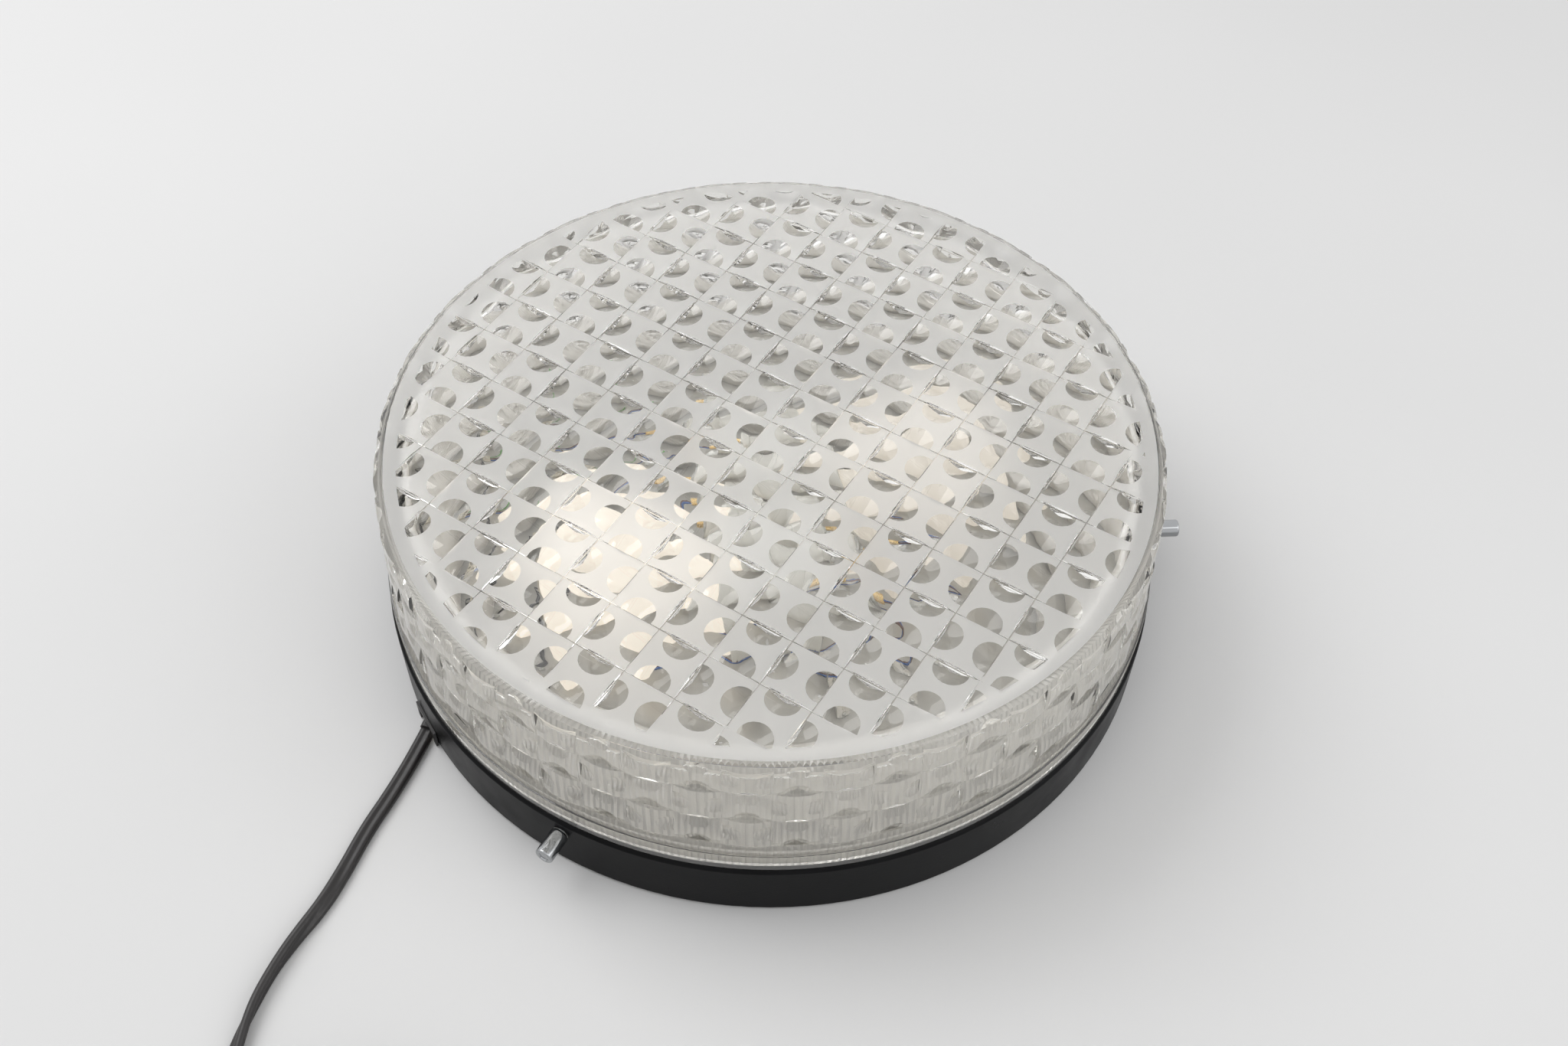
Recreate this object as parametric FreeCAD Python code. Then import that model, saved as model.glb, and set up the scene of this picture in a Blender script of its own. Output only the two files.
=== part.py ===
import FreeCAD, Part
import math
import os

# Round ceiling light: a black sheet-steel pan, a heavy pressed-glass shade held by three
# thumb screws, two lamp holders with bulbs, and a flat twin mains lead with a plug.
# It lies on its back, as on a bench: +Z is away from the ceiling, towards the glass.
# The origin is the centre of the pan's back face. Millimetres and degrees.

V = FreeCAD.Vector
UP = V(0, 0, 1)
ALONG = V(1, 0, 0)

# Pan
pan_radius = 151.0
pan_height = 27.5
sheet = 1.2
pan_foot_radius = 2.0
pan_top_radius = 1.6
pan_lip_width = 5.5
cable_inlet_radius = 9.0
ceiling_slot_spacing = 150.0
ceiling_slot_radius = 2.75
ceiling_slot_length = 14.0

# Clearances
running_clearance = 0.05
soft_clearance = 0.3
through_hole_clearance = 0.1
thread_end_recess = 0.2

# Glass shade, whose radii follow from the pan's
glass_rim_setback = 1.0
glass_rim_height = 9.0
glass_rim_rounding = 0.8
glass_wall_step = 1.0
glass_wall_draft = 2.7
glass_corner_radius = 2.5
glass_height = 60.5
glass_face_thickness = 8.0
glass_bore_draft = 1.5
glass_inner_corner_radius = 5.0
neck_setback = 8.0
neck_thickness = 4.5
neck_length = 15.5
neck_chamfer = 1.0

# Half-moon hollows pressed in the glass, at the ends of the cushions of a weave. The turns and
# the counts say where the weave lies round the lamp's axis
cushion_pitch = 20.13
cushion_turn = -32.14
cushion_columns_before_axis = 3.123
cushion_rows_before_axis = 2.155
face_band_width = 9.8
moon_radius = 7.7
moon_depth = 3.8
wall_cushion_width = 16.7
wall_cushion_height = 16.0
wall_pattern_turn = -89.3
wall_pattern_start = 4.5
wall_moon_radius = 6.2
wall_moon_depth = 3.2
moon_setback = 0.06
cut_tolerance = 0.001

# Thumb screws: where each one stands round the pan, and how far it is backed out
screw_angles = (-118.7, 3.6, 122.4)
screws_backed_out = (0.0, 5.1, 0.0)
screw_height = 20.0
stud_radius = 2.0
stud_end_setback = 0.8
knob_radius = 3.5
knob_length = 10.5
knob_gap = 0.4
knob_edge_radius = 0.7
knob_end_dish_radius = 2.1
knob_end_dish_depth = 0.4
tip_radius = 1.25
tip_length = 3.0
tip_bore_spare = 0.2
bush_radius = 3.0
bush_flange_radius = 4.6
bush_flange_thickness = 1.2
bush_inner_reach = 1.3

# Bulbs and lamp holders: each pair lies along X, and the second is turned half round
bulb_count = 2
bulb_axis_offset = 28.0
bulb_axis_height = 42.0
bulb_contact_place = 9.0
bulb_length = 105.0
bulb_radius = 30.0
bulb_glass_thickness = 0.8
bulb_neck_radius = 15.5
bulb_neck_place = 34.0
cap_radius = 13.2
cap_length = 23.5
cap_start = 3.0
cap_thickness = 0.4
cap_taper_length = 2.0
cap_foot_radius = 9.0
cap_glass_gap = 0.15
insulator_start = 1.2
insulator_tip_radius = 4.8
solder_contact_radius = 3.2
stem_radius = 2.4
stem_end = 50.0
filament_place = 63.0
filament_span = 22.0
filament_radius = 0.5
filament_lead_radius = 0.35

shell_clearance = 0.3
shell_thickness = 0.5
shell_length = 20.0
holder_radius = 19.0
holder_start = -14.0
holder_back_wall = 8.0
holder_shell_seat = 2.0
holder_mouth = 28.0
holder_cavity_radius = 10.0
holder_edge_radius = 1.5
holder_groove_places = (-7.0, 17.0)
holder_groove_width = 2.5
holder_groove_depth = 1.0
contact_strip = 0.6
contact_width = 6.0
contact_bend_radius = 0.8
contact_foot = -9.0
contact_knee = -6.2
contact_pad_start = -2.0
contact_pad_end = 3.6
nipple_radius = 5.0
nipple_bore_radius = 3.5
nipple_length = 15.0
nipple_engagement = 6.0
nut_across_flats = 14.0
nut_thickness = 3.0
bracket_thickness = 1.5
bracket_width = 26.0
bracket_foot_length = 26.0
bracket_top_margin = 14.0
bracket_bend_radius = 1.5
bracket_corner_radius = 3.0
bracket_hole_spacing = 18.0
bracket_hole_setback = 15.0

# Screws that go down through the pan's floor
floor_screw_radius = 1.95
floor_screw_head_radius = 3.6
floor_screw_head_height = 2.2
small_screw_radius = 1.45
small_screw_head_radius = 2.7
small_screw_head_height = 1.8
screw_slot_width = 0.8
screw_slot_depth = 0.9

# Terminal block, with its length along Y
terminal_inset = 43.0
terminal_poles = 3
terminal_pitch = 8.5
terminal_width = 16.0
terminal_height = 13.0
terminal_end_margin = 4.5
terminal_edge_radius = 1.0
insert_side = 5.0
insert_bore_radius = 1.5
insert_length = 15.0
insert_height = 6.0
clamp_screw_spacing = 8.0
conductor_radius = 0.5
conductor_reach = 6.0
wire_gap = 0.2
grub_radius = 1.2
grub_hole_radius = 2.1
grub_length = 5.2

# Earth screw
earth_inset = 67.0
washer_radius = 4.8
washer_thickness = 0.8

# Flat twin mains lead
cord_width = 6.0
cord_thickness = 3.3
cord_height = cord_width / 2
cord_notch_angle = -148.9
cord_notch_width = 15.0
cord_notch_height = 8.0
cord_notch_depth = 6.0
bush_wall = 1.0
bush_lip = 1.0
bush_lip_thickness = 0.9
tail_first_run = 46.8
tail_bend_rise = 6.8
cord_clamp_setback = 16.8
cord_clamp_length = 19.0
cord_clamp_width = 8.0
cord_clamp_top = 2.0
cord_clamp_screw_spacing = 12.5
wire_radius = 1.1
wire_offset = 1.4
core_offset = 1.15

# Where the lead leaves the pan, and its route along the bench to the coil, from there
lead_joint_reach = 1.18
lead_joint_angle = -148.46
lead_route = [
    (0.0, 0.0),
    (-3.8, -12.6),
    (-9.9, -28.9),
    (-15.9, -42.4),
    (-21.2, -58.9),
    (-26.3, -72.9),
    (-34.7, -88.0),
    (-40.3, -100.9),
    (-44.2, -115.4),
    (-46.7, -133.4),
    (-47.3, -153.4),
]

# Coil of the put-away length, its start in line with the lead
coil_outer_radius = 45.5
coil_offset = (-1.8, -180.4)
coil_turns_in = 2.5
coil_turns_out = 2.25
coil_climb_turns = 0.5
coil_pitch = 6.6
coil_start_angle = 180.0
coil_straight = cord_width
tie_band = 6.0
tie_thickness = 0.8
tie_gap = 0.3

# Plug
plug_length = 36.0
plug_width = 35.3
plug_thickness = 13.7
plug_rear_width = 11.0
plug_rear_thickness = 9.0
plug_taper_length = 17.0
plug_edge_radius = 2.0
plug_corner_radius = 5.5
plug_grip_count = 3
plug_grip_width = 1.4
plug_grip_depth = 0.7
plug_pin_radius = 2.0
plug_pin_length = 19.0
plug_pin_spacing = 19.0
plug_pin_rounding = 1.2
plug_pin_root = 6.0
plug_pin_root_radius = 1.5
plug_lead_run = 12.0

# Sizes that follow from the ones above
glass_rim_radius = pan_radius - glass_rim_setback
glass_wall_foot_radius = glass_rim_radius - glass_wall_step
glass_wall_top_radius = glass_wall_foot_radius - glass_wall_draft
neck_radius = pan_radius - neck_setback
glass_bore_radius = neck_radius - neck_thickness
glass_bore_top_radius = glass_bore_radius - glass_bore_draft
glass_top = pan_height + glass_height
glass_rim_top = pan_height + glass_rim_height
face_field_radius = glass_wall_top_radius - face_band_width
terminal_centre = (terminal_inset - pan_radius, 24.0)
earth_place = (earth_inset - pan_radius, 70.0)
lead_joint = (
    (pan_radius + lead_joint_reach) * math.cos(math.radians(lead_joint_angle)),
    (pan_radius + lead_joint_reach) * math.sin(math.radians(lead_joint_angle)),
)
lead_points = [(lead_joint[0] + x, lead_joint[1] + y) for x, y in lead_route]
coil_centre = (lead_joint[0] + coil_offset[0], lead_joint[1] + coil_offset[1])
wall_inner_radius = pan_radius - sheet
lip_radius = pan_radius - pan_lip_width
tip_start_radius = neck_radius + soft_clearance
stud_start_radius = tip_start_radius + stud_end_setback
coil_height = cord_height + tie_thickness + tie_gap
coil_inner_radius = coil_outer_radius - coil_pitch * (coil_turns_in + coil_climb_turns / 2)
bracket_back = holder_start - bracket_thickness
floor_below_axis = bulb_axis_height - sheet


def vector(point, height=None):
    """A point as a vector, with an optional height for one given in plan."""
    if height is not None:
        return V(point[0], point[1], height)
    return V(*point)


def polar(radius, angle, height=0.0):
    """A point at a radius and an angle in degrees round the lamp's axis."""
    turn = math.radians(angle)
    return V(radius * math.cos(turn), radius * math.sin(turn), height)


def unit(arm):
    """The direction of an arm, leaving the arm as it was."""
    return arm * (1.0 / arm.Length)


def corner_arc(before, corner, after, reach):
    """An arc that rounds a corner, starting and ending at a reach along its two arms."""
    to_before = unit(before - corner)
    to_after = unit(after - corner)
    half_angle = 0.5 * to_before.getAngle(to_after)
    inward = unit(to_before + to_after)
    radius = reach * math.tan(half_angle)
    middle = corner + inward * (radius / math.sin(half_angle) - radius)
    start = corner + to_before * reach
    end = corner + to_after * reach
    return start, middle, end, radius


def reach_for_radius(before, corner, after, radius):
    """How far along its arms an arc of a radius starts from a corner."""
    half_angle = 0.5 * (before - corner).getAngle(after - corner)
    return radius / math.tan(half_angle)


def outline(corners):
    """A closed face in the XZ plane from (x, z) corners, or (x, z, radius) rounded ones."""
    points = [V(corner[0], 0, corner[1]) for corner in corners]
    count = len(points)
    starts = []
    ends = []
    arcs = []
    for index, corner in enumerate(corners):
        point = points[index]
        before = points[index - 1]
        after = points[(index + 1) % count]
        if len(corner) == 3:
            reach = reach_for_radius(before, point, after, corner[2])
            start, middle, end, radius = corner_arc(before, point, after, reach)
            starts.append(start)
            ends.append(end)
            arcs.append(Part.Arc(start, middle, end).toShape())
        else:
            starts.append(point)
            ends.append(point)
            arcs.append(None)
    edges = []
    for index in range(count):
        if arcs[index] is not None:
            edges.append(arcs[index])
        following = (index + 1) % count
        if ends[index].distanceToPoint(starts[following]) > 1e-6:
            edges.append(Part.LineSegment(ends[index], starts[following]).toShape())
    return Part.Face(Part.Wire(edges))


def turned(corners, axis=UP):
    """A solid of revolution about Z, or about X where the corners are (along, radius)."""
    return outline(corners).revolve(V(0, 0, 0), axis, 360)


def rod(radius, start, end):
    """A round bar between two points."""
    return Part.makeCylinder(radius, (end - start).Length, start, end - start)


def block(low, high):
    """A box between its lowest and highest corners."""
    size = high - low
    return Part.makeBox(size.x, size.y, size.z, low)


def rounded_block(low, high, radius):
    """A box whose upright edges are rounded."""
    solid = block(low, high)
    upright = []
    for edge in solid.Edges:
        if abs(edge.tangentAt(edge.FirstParameter).z) > 0.99:
            upright.append(edge)
    return solid.makeFillet(radius, upright)


def bent_strip(points, thickness, inner_radius, width):
    """A strip of sheet, centred on Y, bent along the (x, z) points of its middle line."""
    middle = [V(point[0], 0, point[1]) for point in points]
    last = len(middle) - 1
    left = []
    right = []
    for index, point in enumerate(middle):
        arrive = unit(point - middle[index - 1]) if index > 0 else unit(middle[1] - middle[0])
        leave = unit(middle[index + 1] - point) if index < last else arrive
        along = unit(arrive + leave)
        side = V(-along.z, 0, along.x) * (thickness / 2 / along.dot(leave))
        near = point + side
        far = point - side
        if index in (0, last):
            left.append((near.x, near.z))
            right.append((far.x, far.z))
        else:
            turns_left = arrive.cross(leave).y < 0
            outer_radius = inner_radius + thickness
            left.append((near.x, near.z, inner_radius if turns_left else outer_radius))
            right.append((far.x, far.z, outer_radius if turns_left else inner_radius))
    side = outline(left + right[::-1])
    side.translate(V(0, -width / 2, 0))
    return side.extrude(V(0, width, 0))


def slot_cutter(centre, length, radius, low, high):
    """A slot with round ends, its length along Y."""
    half_run = length / 2 - radius
    near = centre - V(0, half_run, 0)
    far = centre + V(0, half_run, 0)
    ends = [rod(radius, place + V(0, 0, low), place + V(0, 0, high)) for place in (near, far)]
    middle = block(near + V(-radius, 0, low), far + V(radius, 0, high))
    return ends[0].fuse([ends[1], middle]).removeSplitter()


def bent_path(points):
    """Straight runs joined by tangent arcs, each as large as its two runs allow."""
    edges = []
    radii = []
    place = points[0]
    for index in range(1, len(points) - 1):
        before = points[index - 1]
        corner = points[index]
        after = points[index + 1]
        shorter = min((corner - before).Length, (after - corner).Length)
        start, middle, end, radius = corner_arc(before, corner, after, 0.45 * shorter)
        edges.append(Part.LineSegment(place, start).toShape())
        edges.append(Part.Arc(start, middle, end).toShape())
        radii.append(radius)
        place = end
    edges.append(Part.LineSegment(place, points[-1]).toShape())
    return Part.Wire(edges), radii


def round_section(radius, place, direction):
    """A circle square to a path's start."""
    return Part.Wire(Part.Circle(place, direction, radius).toShape())


def flat_section(width, thickness, place, direction):
    """A flat cord's section with round edges, square to a level path's start."""
    side = unit(direction.cross(UP)) * ((width - thickness) / 2)
    edge = unit(side) * (thickness / 2)
    rise = UP * (thickness / 2)
    left = place - side
    right = place + side
    edges = [
        Part.LineSegment(left + rise, right + rise).toShape(),
        Part.Arc(right + rise, right + edge, right - rise).toShape(),
        Part.LineSegment(right - rise, left - rise).toShape(),
        Part.Arc(left - rise, left - edge, left + rise).toShape(),
    ]
    return Part.Wire(edges)


def tube(points, radius, name=None):
    """A round cord or wire along a bent path."""
    path, radii = bent_path(points)
    section = round_section(radius, points[0], points[1] - points[0])
    solid = path.makePipeShell([section], True, False)
    if name:
        expected = math.pi * radius ** 2 * path.Length
        print(name, "length", round(path.Length, 1), "volume ratio", round(solid.Volume / expected, 4))
        print(name, "bend radii", [round(value, 1) for value in radii])
    return solid


def floor_screw(place, seat, radius, head_radius, head_height):
    """A slotted round-head screw whose shank ends just inside the pan's back face."""
    x, y = place
    shank = rod(radius, V(x, y, thread_end_recess), V(x, y, seat))
    head = turned([(0, 0), (head_radius, 0), (head_radius, head_height, head_height * 0.6),
                   (0, head_height)])
    head.translate(V(x, y, seat))
    slot = block(V(x - head_radius, y - screw_slot_width / 2, seat + head_height - screw_slot_depth),
                 V(x + head_radius, y + screw_slot_width / 2, seat + head_height + 1))
    return head.cut(slot).fuse(shank).removeSplitter()


def bracket_screw_places():
    """Where the screws go down through a bracket's foot, in the bulb's own frame."""
    along = bracket_back - bracket_hole_setback
    return [(along, side * bracket_hole_spacing / 2) for side in (-1, 1)]


def placed_lamp(solid, index):
    """Moves a piece from the bulb's own frame, axis along +X, to bulb 0 or bulb 1."""
    moved = solid.copy()
    moved.translate(V(-bulb_contact_place, bulb_axis_offset, bulb_axis_height))
    if index == 0:
        moved.rotate(V(0, 0, 0), UP, 180)
    return moved


def lamp_point(along, side, index):
    """A point in plan from the bulb's own frame."""
    point = V(along - bulb_contact_place, side + bulb_axis_offset, 0)
    if index == 0:
        point = V(-point.x, -point.y, 0)
    return (point.x, point.y)


def on_screw_axis(solid, index, moves=False):
    """Moves a piece made along +X to a thumb screw's axis, backed out if it moves with it."""
    moved = solid.copy()
    travel = screws_backed_out[index] if moves else 0
    moved.translate(V(travel, 0, screw_height))
    moved.rotate(V(0, 0, 0), UP, screw_angles[index])
    return moved


def cord_direction():
    """The lead's direction where it leaves the pan."""
    return unit(vector(lead_points[1], 0) - vector(lead_points[0], 0))


def reach_to_wall():
    """How far back along the lead the pan's wall is from the joint with the free lead."""
    start = vector(lead_points[0], 0)
    outward = unit(start)
    return (start.Length - wall_inner_radius) / cord_direction().dot(outward)


def tail_points():
    """The lead's route inside the pan, from its joint with the free lead to the split."""
    start = vector(lead_points[0], cord_height)
    back = cord_direction() * -1
    split = terminal_split()
    turn = start + back * (reach_to_wall() + tail_first_run)
    return [start, turn, V(split.x, turn.y + tail_bend_rise, cord_height), split]


def terminal_split():
    """Where the two cores part, beside the terminal block."""
    low_end = terminal_centre[1] - terminal_body_length() / 2
    return V(terminal_centre[0] - terminal_width / 2 - 4.0, low_end - 10.0, cord_height)


def terminal_body_length():
    """The terminal block's length along Y."""
    return (terminal_poles - 1) * terminal_pitch + 2 * terminal_end_margin


def terminal_rows():
    """Where each pole of the terminal block lies along Y."""
    first = terminal_centre[1] - (terminal_poles - 1) * terminal_pitch / 2
    return [first + index * terminal_pitch for index in range(terminal_poles)]


def clamp_frame():
    """The cord clamp's centre on the floor and its direction along the lead."""
    back = cord_direction() * -1
    centre = vector(lead_points[0], 0) + back * (reach_to_wall() + cord_clamp_setback)
    return centre, back


def clamp_screw_places():
    """Where the cord clamp's screws go down through the floor."""
    centre, along = clamp_frame()
    side = along.cross(UP)
    spots = [centre + side * (sign * cord_clamp_screw_spacing / 2) for sign in (-1, 1)]
    return [(spot.x, spot.y) for spot in spots]


def terminal_fixing_place():
    """The terminal block's own fixing screw, between two poles."""
    rows = terminal_rows()
    return (terminal_centre[0], (rows[-1] + rows[-2]) / 2)


def all_floor_holes():
    """Every threaded hole in the pan's floor as (x, y, radius)."""
    holes = []
    for index in range(bulb_count):
        for along, side in bracket_screw_places():
            x, y = lamp_point(along, side, index)
            holes.append((x, y, floor_screw_radius))
    for x, y in clamp_screw_places():
        holes.append((x, y, small_screw_radius))
    x, y = terminal_fixing_place()
    holes.append((x, y, small_screw_radius))
    holes.append((earth_place[0], earth_place[1], floor_screw_radius))
    return holes


def notch_cutter():
    """The notch through the pan's wall and floor edge, for the lead."""
    inner = wall_inner_radius - cord_notch_depth
    half = cord_notch_width / 2
    cutter = block(V(inner, -half, -1), V(pan_radius + 1, half, cord_notch_height))
    cutter.rotate(V(0, 0, 0), UP, cord_notch_angle)
    return cutter


def base_pan():
    """The pressed pan with its turned-in lip, holes, slots and lead notch."""
    inner_top = max(pan_top_radius - sheet, 0.2)
    inner_foot = max(pan_foot_radius - sheet, 0.2)
    pan = turned([
        (0, 0),
        (pan_radius, 0, pan_foot_radius),
        (pan_radius, pan_height, pan_top_radius),
        (lip_radius, pan_height),
        (lip_radius, pan_height - sheet),
        (wall_inner_radius, pan_height - sheet, inner_top),
        (wall_inner_radius, sheet, inner_foot),
        (0, sheet),
    ])
    cutters = [rod(cable_inlet_radius, V(0, 0, -1), V(0, 0, sheet + 1))]
    for side in (-1, 1):
        centre = V(0, side * ceiling_slot_spacing / 2, 0)
        cutters.append(slot_cutter(centre, ceiling_slot_length, ceiling_slot_radius, -1, sheet + 1))
    for x, y, radius in all_floor_holes():
        cutters.append(rod(radius + running_clearance, V(x, y, -1), V(x, y, sheet + 1)))
    hole = rod(bush_radius + running_clearance, V(lip_radius, 0, 0), V(pan_radius + 1, 0, 0))
    for index in range(len(screw_angles)):
        cutters.append(on_screw_axis(hole, index))
    cutters.append(notch_cutter())
    return pan.cut(cutters)


def screw_bush():
    """A threaded bush that is riveted into the pan's wall, made along +X."""
    outer_end = math.sqrt(pan_radius ** 2 - bush_radius ** 2) - running_clearance
    flange_end = math.sqrt(wall_inner_radius ** 2 - bush_flange_radius ** 2) - running_clearance
    inner_end = neck_radius + bush_inner_reach
    flange_start = flange_end - bush_flange_thickness
    bore = stud_radius + running_clearance
    return turned([
        (inner_end, bore),
        (inner_end, bush_radius),
        (flange_start, bush_radius),
        (flange_start, bush_flange_radius, 0.3),
        (flange_end, bush_flange_radius),
        (flange_end, bush_radius),
        (outer_end, bush_radius),
        (outer_end, bore),
    ], ALONG)


def thumb_screw():
    """A stud with a plain round knob, bored for its soft tip, made along +X."""
    knob_start = pan_radius + knob_gap
    knob_end = knob_start + knob_length
    bore = tip_radius + running_clearance
    bore_end = tip_start_radius + tip_length + tip_bore_spare
    return turned([
        (stud_start_radius, bore),
        (stud_start_radius, stud_radius, 0.3),
        (knob_start, stud_radius),
        (knob_start, knob_radius, knob_edge_radius),
        (knob_end, knob_radius, knob_edge_radius),
        (knob_end, knob_end_dish_radius),
        (knob_end - knob_end_dish_depth, knob_end_dish_radius - knob_end_dish_depth),
        (knob_end - knob_end_dish_depth, 0),
        (bore_end, 0),
        (bore_end, bore),
    ], ALONG)


def screw_tip():
    """The soft plug that bears on the glass neck, made along +X."""
    end = tip_start_radius + tip_length
    return turned([
        (tip_start_radius, 0),
        (tip_start_radius, tip_radius, 0.3),
        (end, tip_radius),
        (end, 0),
    ], ALONG)


def half_moon(radius, depth):
    """The tool for a half-moon hollow: half a cone whose flat side is the plane x = 0."""
    above = depth / 10
    rim = radius * (1 + above / depth)
    side = Part.makePolygon([V(0, 0, -depth), V(0, -rim, above), V(0, 0, above), V(0, 0, -depth)])
    return Part.Face(side).revolve(V(0, 0, 0), UP, -180).removeSplitter()


def cells_near(axis):
    """The cells along one side of the weave that can reach the face, round the lamp's axis."""
    reach = face_field_radius / cushion_pitch + 1
    return range(math.floor(axis - reach), math.ceil(axis + reach))


def face_moons():
    """The hollows of the face, one at each end of cushions that lie in turn along and across."""
    tool = half_moon(moon_radius, moon_depth)
    field = rod(face_field_radius, V(0, 0, glass_top - 2 * moon_depth), V(0, 0, glass_top + moon_depth))
    reach = cushion_pitch / 2 - moon_setback
    moon_middle = 4 * moon_radius / (3 * math.pi)
    moons = []
    for column in cells_near(cushion_columns_before_axis):
        for row in cells_near(cushion_rows_before_axis):
            along = (column + 0.5 - cushion_columns_before_axis) * cushion_pitch
            across = (row + 0.5 - cushion_rows_before_axis) * cushion_pitch
            centre = polar(along, cushion_turn) + polar(across, cushion_turn - 90)
            for facing in (0, 180):
                angle = cushion_turn + 90 * ((column + row) % 2) + facing
                from_axis = (centre + polar(reach - moon_middle, angle)).Length
                if from_axis > face_field_radius:
                    continue
                moon = tool.copy()
                moon.rotate(V(0, 0, 0), UP, angle)
                moon.translate(centre + polar(reach, angle, glass_top))
                if from_axis > face_field_radius - 2 * moon_radius:
                    moon = moon.common(field)
                moons.append(moon)
    return moons


def wall_moons():
    """The hollows of the wall, in the same weave, as many as fit under the face's corner."""
    tool = half_moon(wall_moon_radius, wall_moon_depth)
    corner_foot = glass_top - glass_corner_radius
    columns = 2 * round(math.pi * glass_wall_foot_radius / wall_cushion_width)
    step = 360 / columns
    draft = glass_wall_draft / (glass_top - glass_rim_top)
    start = glass_rim_top + wall_pattern_start
    rows = math.ceil((glass_top - start) / wall_cushion_height)
    moons = []
    for column in range(columns):
        for row in range(rows):
            upright = (column + row) % 2 == 0
            height = start + (row + 0.5) * wall_cushion_height
            radius = glass_wall_foot_radius - (height - glass_rim_top) * draft
            width = 2 * radius * math.sin(math.radians(step / 2))
            reach = (wall_cushion_height if upright else width) / 2 - moon_setback
            for facing in (0, 180):
                moon = tool.copy()
                moon.translate(V(reach, 0, 0))
                moon.rotate(V(0, 0, 0), UP, facing if upright else facing + 90)
                moon.rotate(V(0, 0, 0), V(0, 1, 0), 90 - math.degrees(math.atan(draft)))
                moon.translate(V(radius, 0, height))
                moon.rotate(V(0, 0, 0), UP, wall_pattern_turn + (column + 0.5) * step)
                if moon.BoundBox.ZMax < corner_foot:
                    moons.append(moon)
    return moons


def glass_shade():
    """The pressed-glass drum with its rim and hollows, and the plain neck that drops into the pan."""
    neck_end = pan_height - neck_length
    ceiling = glass_top - glass_face_thickness
    drum = turned([
        (glass_bore_radius, neck_end),
        (neck_radius - neck_chamfer, neck_end),
        (neck_radius, neck_end + neck_chamfer),
        (neck_radius, pan_height),
        (glass_rim_radius, pan_height, glass_rim_rounding),
        (glass_rim_radius, glass_rim_top, glass_rim_rounding),
        (glass_wall_foot_radius, glass_rim_top),
        (glass_wall_top_radius, glass_top, glass_corner_radius),
        (0, glass_top),
        (0, ceiling),
        (glass_bore_top_radius, ceiling, glass_inner_corner_radius),
        (glass_bore_radius, glass_rim_top),
    ])
    return drum.cut(face_moons()).cut(wall_moons(), cut_tolerance)


def holder_bracket():
    """The bent bracket that stands on the pan's floor, in the bulb's own frame."""
    back = bracket_back
    front = holder_start
    floor = -floor_below_axis
    foot_end = back - bracket_foot_length
    middle = bracket_thickness / 2
    plate = bent_strip([
        (front - middle, bracket_top_margin),
        (front - middle, floor + middle),
        (foot_end, floor + middle),
    ], bracket_thickness, bracket_bend_radius, bracket_width)
    corners = []
    for edge in plate.Edges:
        tangent = edge.tangentAt(edge.FirstParameter)
        middle = edge.CenterOfMass
        at_top = abs(middle.z - bracket_top_margin) < 0.01 and abs(tangent.x) > 0.99
        at_foot = abs(middle.x - foot_end) < 0.01 and abs(tangent.z) > 0.99
        if at_top or at_foot:
            corners.append(edge)
    plate = plate.makeFillet(bracket_corner_radius, corners)
    hole = rod(nipple_radius + running_clearance, V(back - 1, 0, 0), V(front + 1, 0, 0))
    cutters = [hole]
    for along, sideways in bracket_screw_places():
        low = V(along, sideways, floor - 1)
        high = V(along, sideways, floor + bracket_thickness + 1)
        cutters.append(rod(floor_screw_radius + through_hole_clearance, low, high))
    return plate.cut(cutters)


def holder_body():
    """The porcelain lamp holder, its mouth towards +X, in the bulb's own frame."""
    bore = cap_radius + shell_clearance + shell_thickness + shell_clearance
    cavity_start = holder_start + holder_back_wall
    nipple_hole = nipple_radius + running_clearance
    body = turned([
        (holder_start, nipple_hole),
        (holder_start, holder_radius, holder_edge_radius),
        (holder_mouth, holder_radius, holder_edge_radius),
        (holder_mouth, bore, 0.8),
        (holder_shell_seat, bore),
        (holder_shell_seat, holder_cavity_radius),
        (cavity_start, holder_cavity_radius),
        (cavity_start, nipple_hole),
    ], ALONG)
    grooves = []
    for place in holder_groove_places:
        grooves.append(turned([
            (place, holder_radius - holder_groove_depth),
            (place, holder_radius + 1),
            (place + holder_groove_width, holder_radius + 1),
            (place + holder_groove_width, holder_radius - holder_groove_depth),
        ], ALONG))
    return body.cut(grooves)


def holder_shell():
    """The brass screw shell that the bulb's cap turns in."""
    inner = cap_radius + shell_clearance
    outer = inner + shell_thickness
    end = holder_shell_seat + shell_length
    return turned([
        (holder_shell_seat, inner),
        (holder_shell_seat, outer),
        (end, outer),
        (end, inner),
    ], ALONG)


def holder_contact():
    """The sprung centre contact: a foot on the back wall, a rise and a pad under the bulb."""
    foot = holder_start + holder_back_wall + contact_strip / 2
    pad = -soft_clearance - contact_strip / 2
    return bent_strip([
        (foot, contact_foot),
        (foot, contact_knee),
        (pad, contact_pad_start),
        (pad, contact_pad_end),
    ], contact_strip, contact_bend_radius, contact_width)


def holder_nipple():
    """The hollow threaded nipple that clamps the holder to its bracket."""
    start = holder_start + nipple_engagement
    end = start - nipple_engagement - nipple_length
    return turned([
        (start, nipple_bore_radius),
        (start, nipple_radius),
        (end, nipple_radius),
        (end, nipple_bore_radius),
    ], ALONG)


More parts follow.
